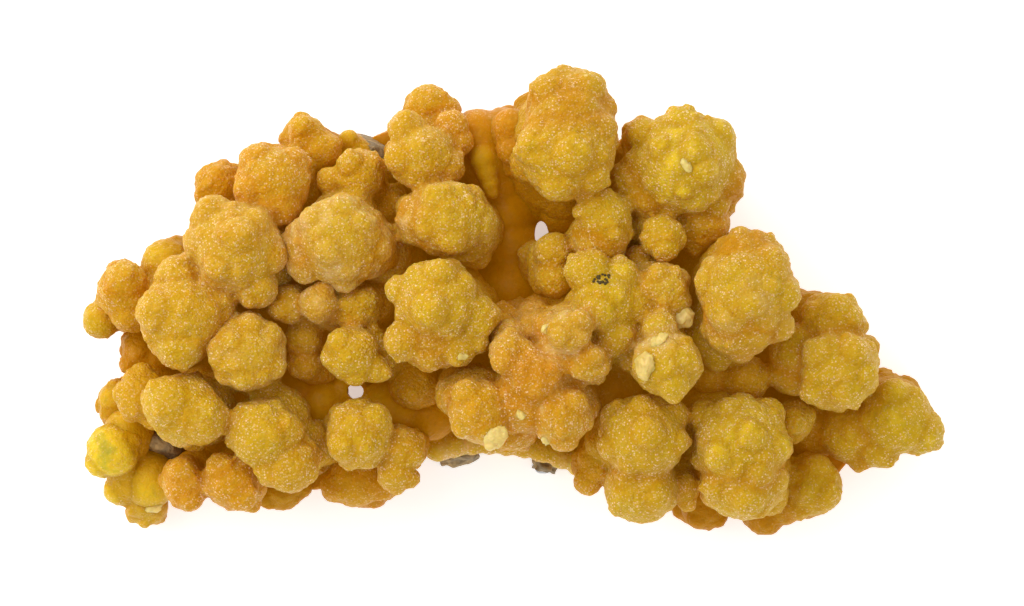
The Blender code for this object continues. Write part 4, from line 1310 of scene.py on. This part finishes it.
class SPECIMEN_OT_chips(bpy.types.Operator):
    """Add the broken crystals and the flake"""

    bl_idname = "specimen.add_chips"
    bl_label = "Chips"

    def execute(self, context):
        settings = context.scene.specimen_chips
        drawn = random.Random(SEED * 11)
        chips = []
        for x, y, rise, across, up, deep, turn in CHIPS:
            deselect()
            bpy.ops.mesh.primitive_ico_sphere_add(subdivisions=1, radius=1.0, rotation=(0.4, 0.2, 0.0))
            chip = context.object
            bpy.ops.object.transform_apply(location=False, rotation=True, scale=False)
            for vert in chip.data.vertices:
                vert.co *= drawn.uniform(CHIP_LEAST, CHIP_MOST)
            chip.scale = (across * MM, up * MM, deep * MM)
            chip.rotation_euler.z = math.radians(turn)
            chip.location = place(x, y) + Vector((0.0, 0.0, surface_height(x, y) + rise * MM))
            apply_modifier(chip, "edge", "BEVEL", width=CHIP_BEVEL, segments=1)
            apply_modifier(chip, "divide", "SUBSURF", subdivision_type="SIMPLE", levels=3)
            chips.append(chip)
        deselect()
        x, y = FLAKE_PLACE
        bpy.ops.mesh.primitive_ico_sphere_add(
            subdivisions=5, radius=1.0, rotation=(0.25, 0.1, math.radians(FLAKE_TURN)),
            location=place(x, y) + Vector((0.0, 0.0, surface_height(x, y) - FLAKE_SINK)),
            scale=tuple(side * MM for side in FLAKE_SIDES),
        )
        chips.append(context.object)
        piece = join_pieces(chips, "pale_chips")
        for name, size, depth in CHIP_BREAKS:
            apply_modifier(
                piece, "broken", "DISPLACE", texture=relief_texture(name, "CLOUDS", size),
                texture_coords="LOCAL", strength=depth, mid_level=0.5,
            )
        finish_detail(piece, material_once("pale_crystal", chip_material, settings))
        keep_in_box(piece, CAD_LOW[2] + BACK_CLEARANCE)
        return {"FINISHED"}


class SPECIMEN_OT_crumbs(bpy.types.Operator):
    """Add the crumbs of black crust"""

    bl_idname = "specimen.add_crumbs"
    bl_label = "Crumbs"

    def execute(self, context):
        settings = context.scene.specimen_chips
        drawn = random.Random(SEED * 13)
        crumbs = []
        for step in range(CRUMB_COUNT):
            deselect()
            turn = 2.0 * math.pi * step / CRUMB_COUNT
            reach = drawn.uniform(*CRUMB_REACHES)
            x = CRUMB_PLACE[0] + CRUMB_RING[0] * reach * math.cos(turn)
            y = CRUMB_PLACE[1] + CRUMB_RING[1] * reach * math.sin(turn)
            bpy.ops.mesh.primitive_ico_sphere_add(
                subdivisions=2, radius=drawn.uniform(CRUMB_LEAST, CRUMB_MOST) * MM,
                location=place(x, y) + Vector((0.0, 0.0, surface_height(x, y))),
            )
            crumbs.append(context.object)
        piece = join_pieces(crumbs, "black_crumbs")
        apply_modifier(
            piece, "rough", "DISPLACE", texture=relief_texture("crumbling", "CLOUDS", CRUMB_GRAIN),
            texture_coords="LOCAL", strength=CRUMB_RELIEF, mid_level=0.5,
        )
        finish_detail(piece, material_once("black_crust", crumb_material, settings))
        return {"FINISHED"}


def rock_point(co, rock):
    """Where a point of the unit ball goes on the rough block of a rock, as in the solid."""
    x, y, half_length, half_width, height, _ = rock
    rough = noise.noise(co * ROCK_DETAIL + Vector((x, y, 0.0))) * ROCK_ROUGHNESS
    squared = Vector([math.copysign(abs(c) ** ROCK_SQUARENESS, c) for c in co])
    half = Vector((half_length, half_width, height)) * MM
    return Vector([a * b for a, b in zip(squared, half)]) + co * rough


class SPECIMEN_OT_rocks(bpy.types.Operator):
    """Add the remnants of the grey rock"""

    bl_idname = "specimen.add_rocks"
    bl_label = "Rocks"

    def execute(self, context):
        settings = context.scene.specimen_rock
        material = material_once("stained_rock", rock_material, settings)
        for name, rock in ROCKS.items():
            deselect()
            bpy.ops.mesh.primitive_ico_sphere_add(subdivisions=5, radius=1.0)
            obj = bpy.context.object
            obj.name = f"{name}_stone"
            turn = Matrix.Rotation(math.radians(rock[5]), 3, "Z")
            for vert in obj.data.vertices:
                vert.co = turn @ rock_point(vert.co, rock) + place(rock[0], rock[1])
            apply_modifier(
                obj, "broken", "DISPLACE", texture=relief_texture("broken", "CLOUDS", 0.7 * MM),
                texture_coords="LOCAL", strength=settings.relief, mid_level=0.7,
            )
            keep_in_box(obj, CAD_LOW[2])
            finish_piece(obj, material, "grey_rock", name)
        return {"FINISHED"}


def add_light(name, location, size, power):
    """A large area light aimed at the crust."""
    deselect()
    bpy.ops.object.light_add(type="AREA", location=location)
    lamp = bpy.context.object
    lamp.name = name
    lamp.data.size = size
    lamp.data.energy = power
    lamp.rotation_euler = (-Vector(location)).to_track_quat("-Z", "Y").to_euler()
    return lamp


class SPECIMEN_OT_stage(bpy.types.Operator):
    """Set the floor, the light and the camera"""

    bl_idname = "specimen.dress_stage"
    bl_label = "Stage"

    def execute(self, context):
        settings = context.scene.specimen_stage
        deselect()
        bpy.ops.mesh.primitive_plane_add(size=FLOOR_SIDE)
        floor = bpy.context.object
        floor.name = "floor"
        nodes = Nodes("pale_floor")
        nodes.shader.inputs["Base Color"].default_value = (*settings.floor_colour, 1.0)
        nodes.shader.inputs["Roughness"].default_value = 0.9
        nodes.shader.inputs["Emission Color"].default_value = (1.0, 1.0, 1.0, 1.0)
        nodes.shader.inputs["Emission Strength"].default_value = settings.floor_light
        floor.data.materials.append(nodes.material)
        floor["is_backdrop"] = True
        world = bpy.data.worlds.new("daylight")
        world.use_nodes = True
        sky = world.node_tree.nodes["Background"]
        sky.inputs["Color"].default_value = (1.0, 1.0, 1.0, 1.0)
        sky.inputs["Strength"].default_value = settings.daylight
        context.scene.world = world
        add_light("key_light", KEY_PLACE, KEY_SIZE, settings.key_power)
        middle = (CAD_LOW[2] + CAD_HIGH[2]) / 2.0
        deselect()
        distance = settings.lens / SENSOR * settings.view_width
        centre = place(VIEW_CENTRE, 0.0)
        bpy.ops.object.camera_add(location=(centre.x, centre.y, middle + distance))
        camera = context.object
        camera.rotation_euler = (0.0, 0.0, 0.0)
        camera.data.lens = settings.lens
        camera.data.sensor_width = SENSOR
        camera.data.clip_end = 10.0
        context.scene.camera = camera
        context.scene.view_settings.view_transform = "Standard"
        return {"FINISHED"}


class SPECIMEN_PT_panel(bpy.types.Panel):
    """Lists the specimen's pieces and settings"""

    bl_label = "Mimetite specimen"
    bl_idname = "SPECIMEN_PT_panel"
    bl_space_type = "VIEW_3D"
    bl_region_type = "UI"
    bl_category = "Mimetite"

    def draw(self, context):
        layout = self.layout
        for group in SETTINGS:
            settings = getattr(context.scene, group)
            box = layout.box()
            for name in settings.bl_rna.properties.keys():
                if name not in ("rna_type", "name"):
                    box.prop(settings, name)
        for operator in OPERATORS:
            layout.operator(operator.bl_idname)


SETTINGS = {
    "specimen_crust": CrustSettings,
    "specimen_chips": ChipSettings,
    "specimen_rock": RockSettings,
    "specimen_stage": StageSettings,
}
OPERATORS = (
    SPECIMEN_OT_botryoids,
    SPECIMEN_OT_backing,
    SPECIMEN_OT_chips,
    SPECIMEN_OT_crumbs,
    SPECIMEN_OT_rocks,
    SPECIMEN_OT_stage,
)


def register():
    for group, kind in SETTINGS.items():
        bpy.utils.register_class(kind)
        setattr(bpy.types.Scene, group, PointerProperty(type=kind))
    for kind in (*OPERATORS, SPECIMEN_PT_panel):
        bpy.utils.register_class(kind)


def unregister():
    for kind in (SPECIMEN_PT_panel, *reversed(OPERATORS)):
        bpy.utils.unregister_class(kind)
    for group, kind in reversed(SETTINGS.items()):
        delattr(bpy.types.Scene, group)
        bpy.utils.unregister_class(kind)


def main():
    register()
    bpy.ops.specimen.add_botryoids()
    bpy.ops.specimen.add_backing()
    bpy.ops.specimen.add_chips()
    bpy.ops.specimen.add_crumbs()
    bpy.ops.specimen.add_rocks()
    bpy.ops.specimen.dress_stage()


if __name__ == "__main__":
    main()
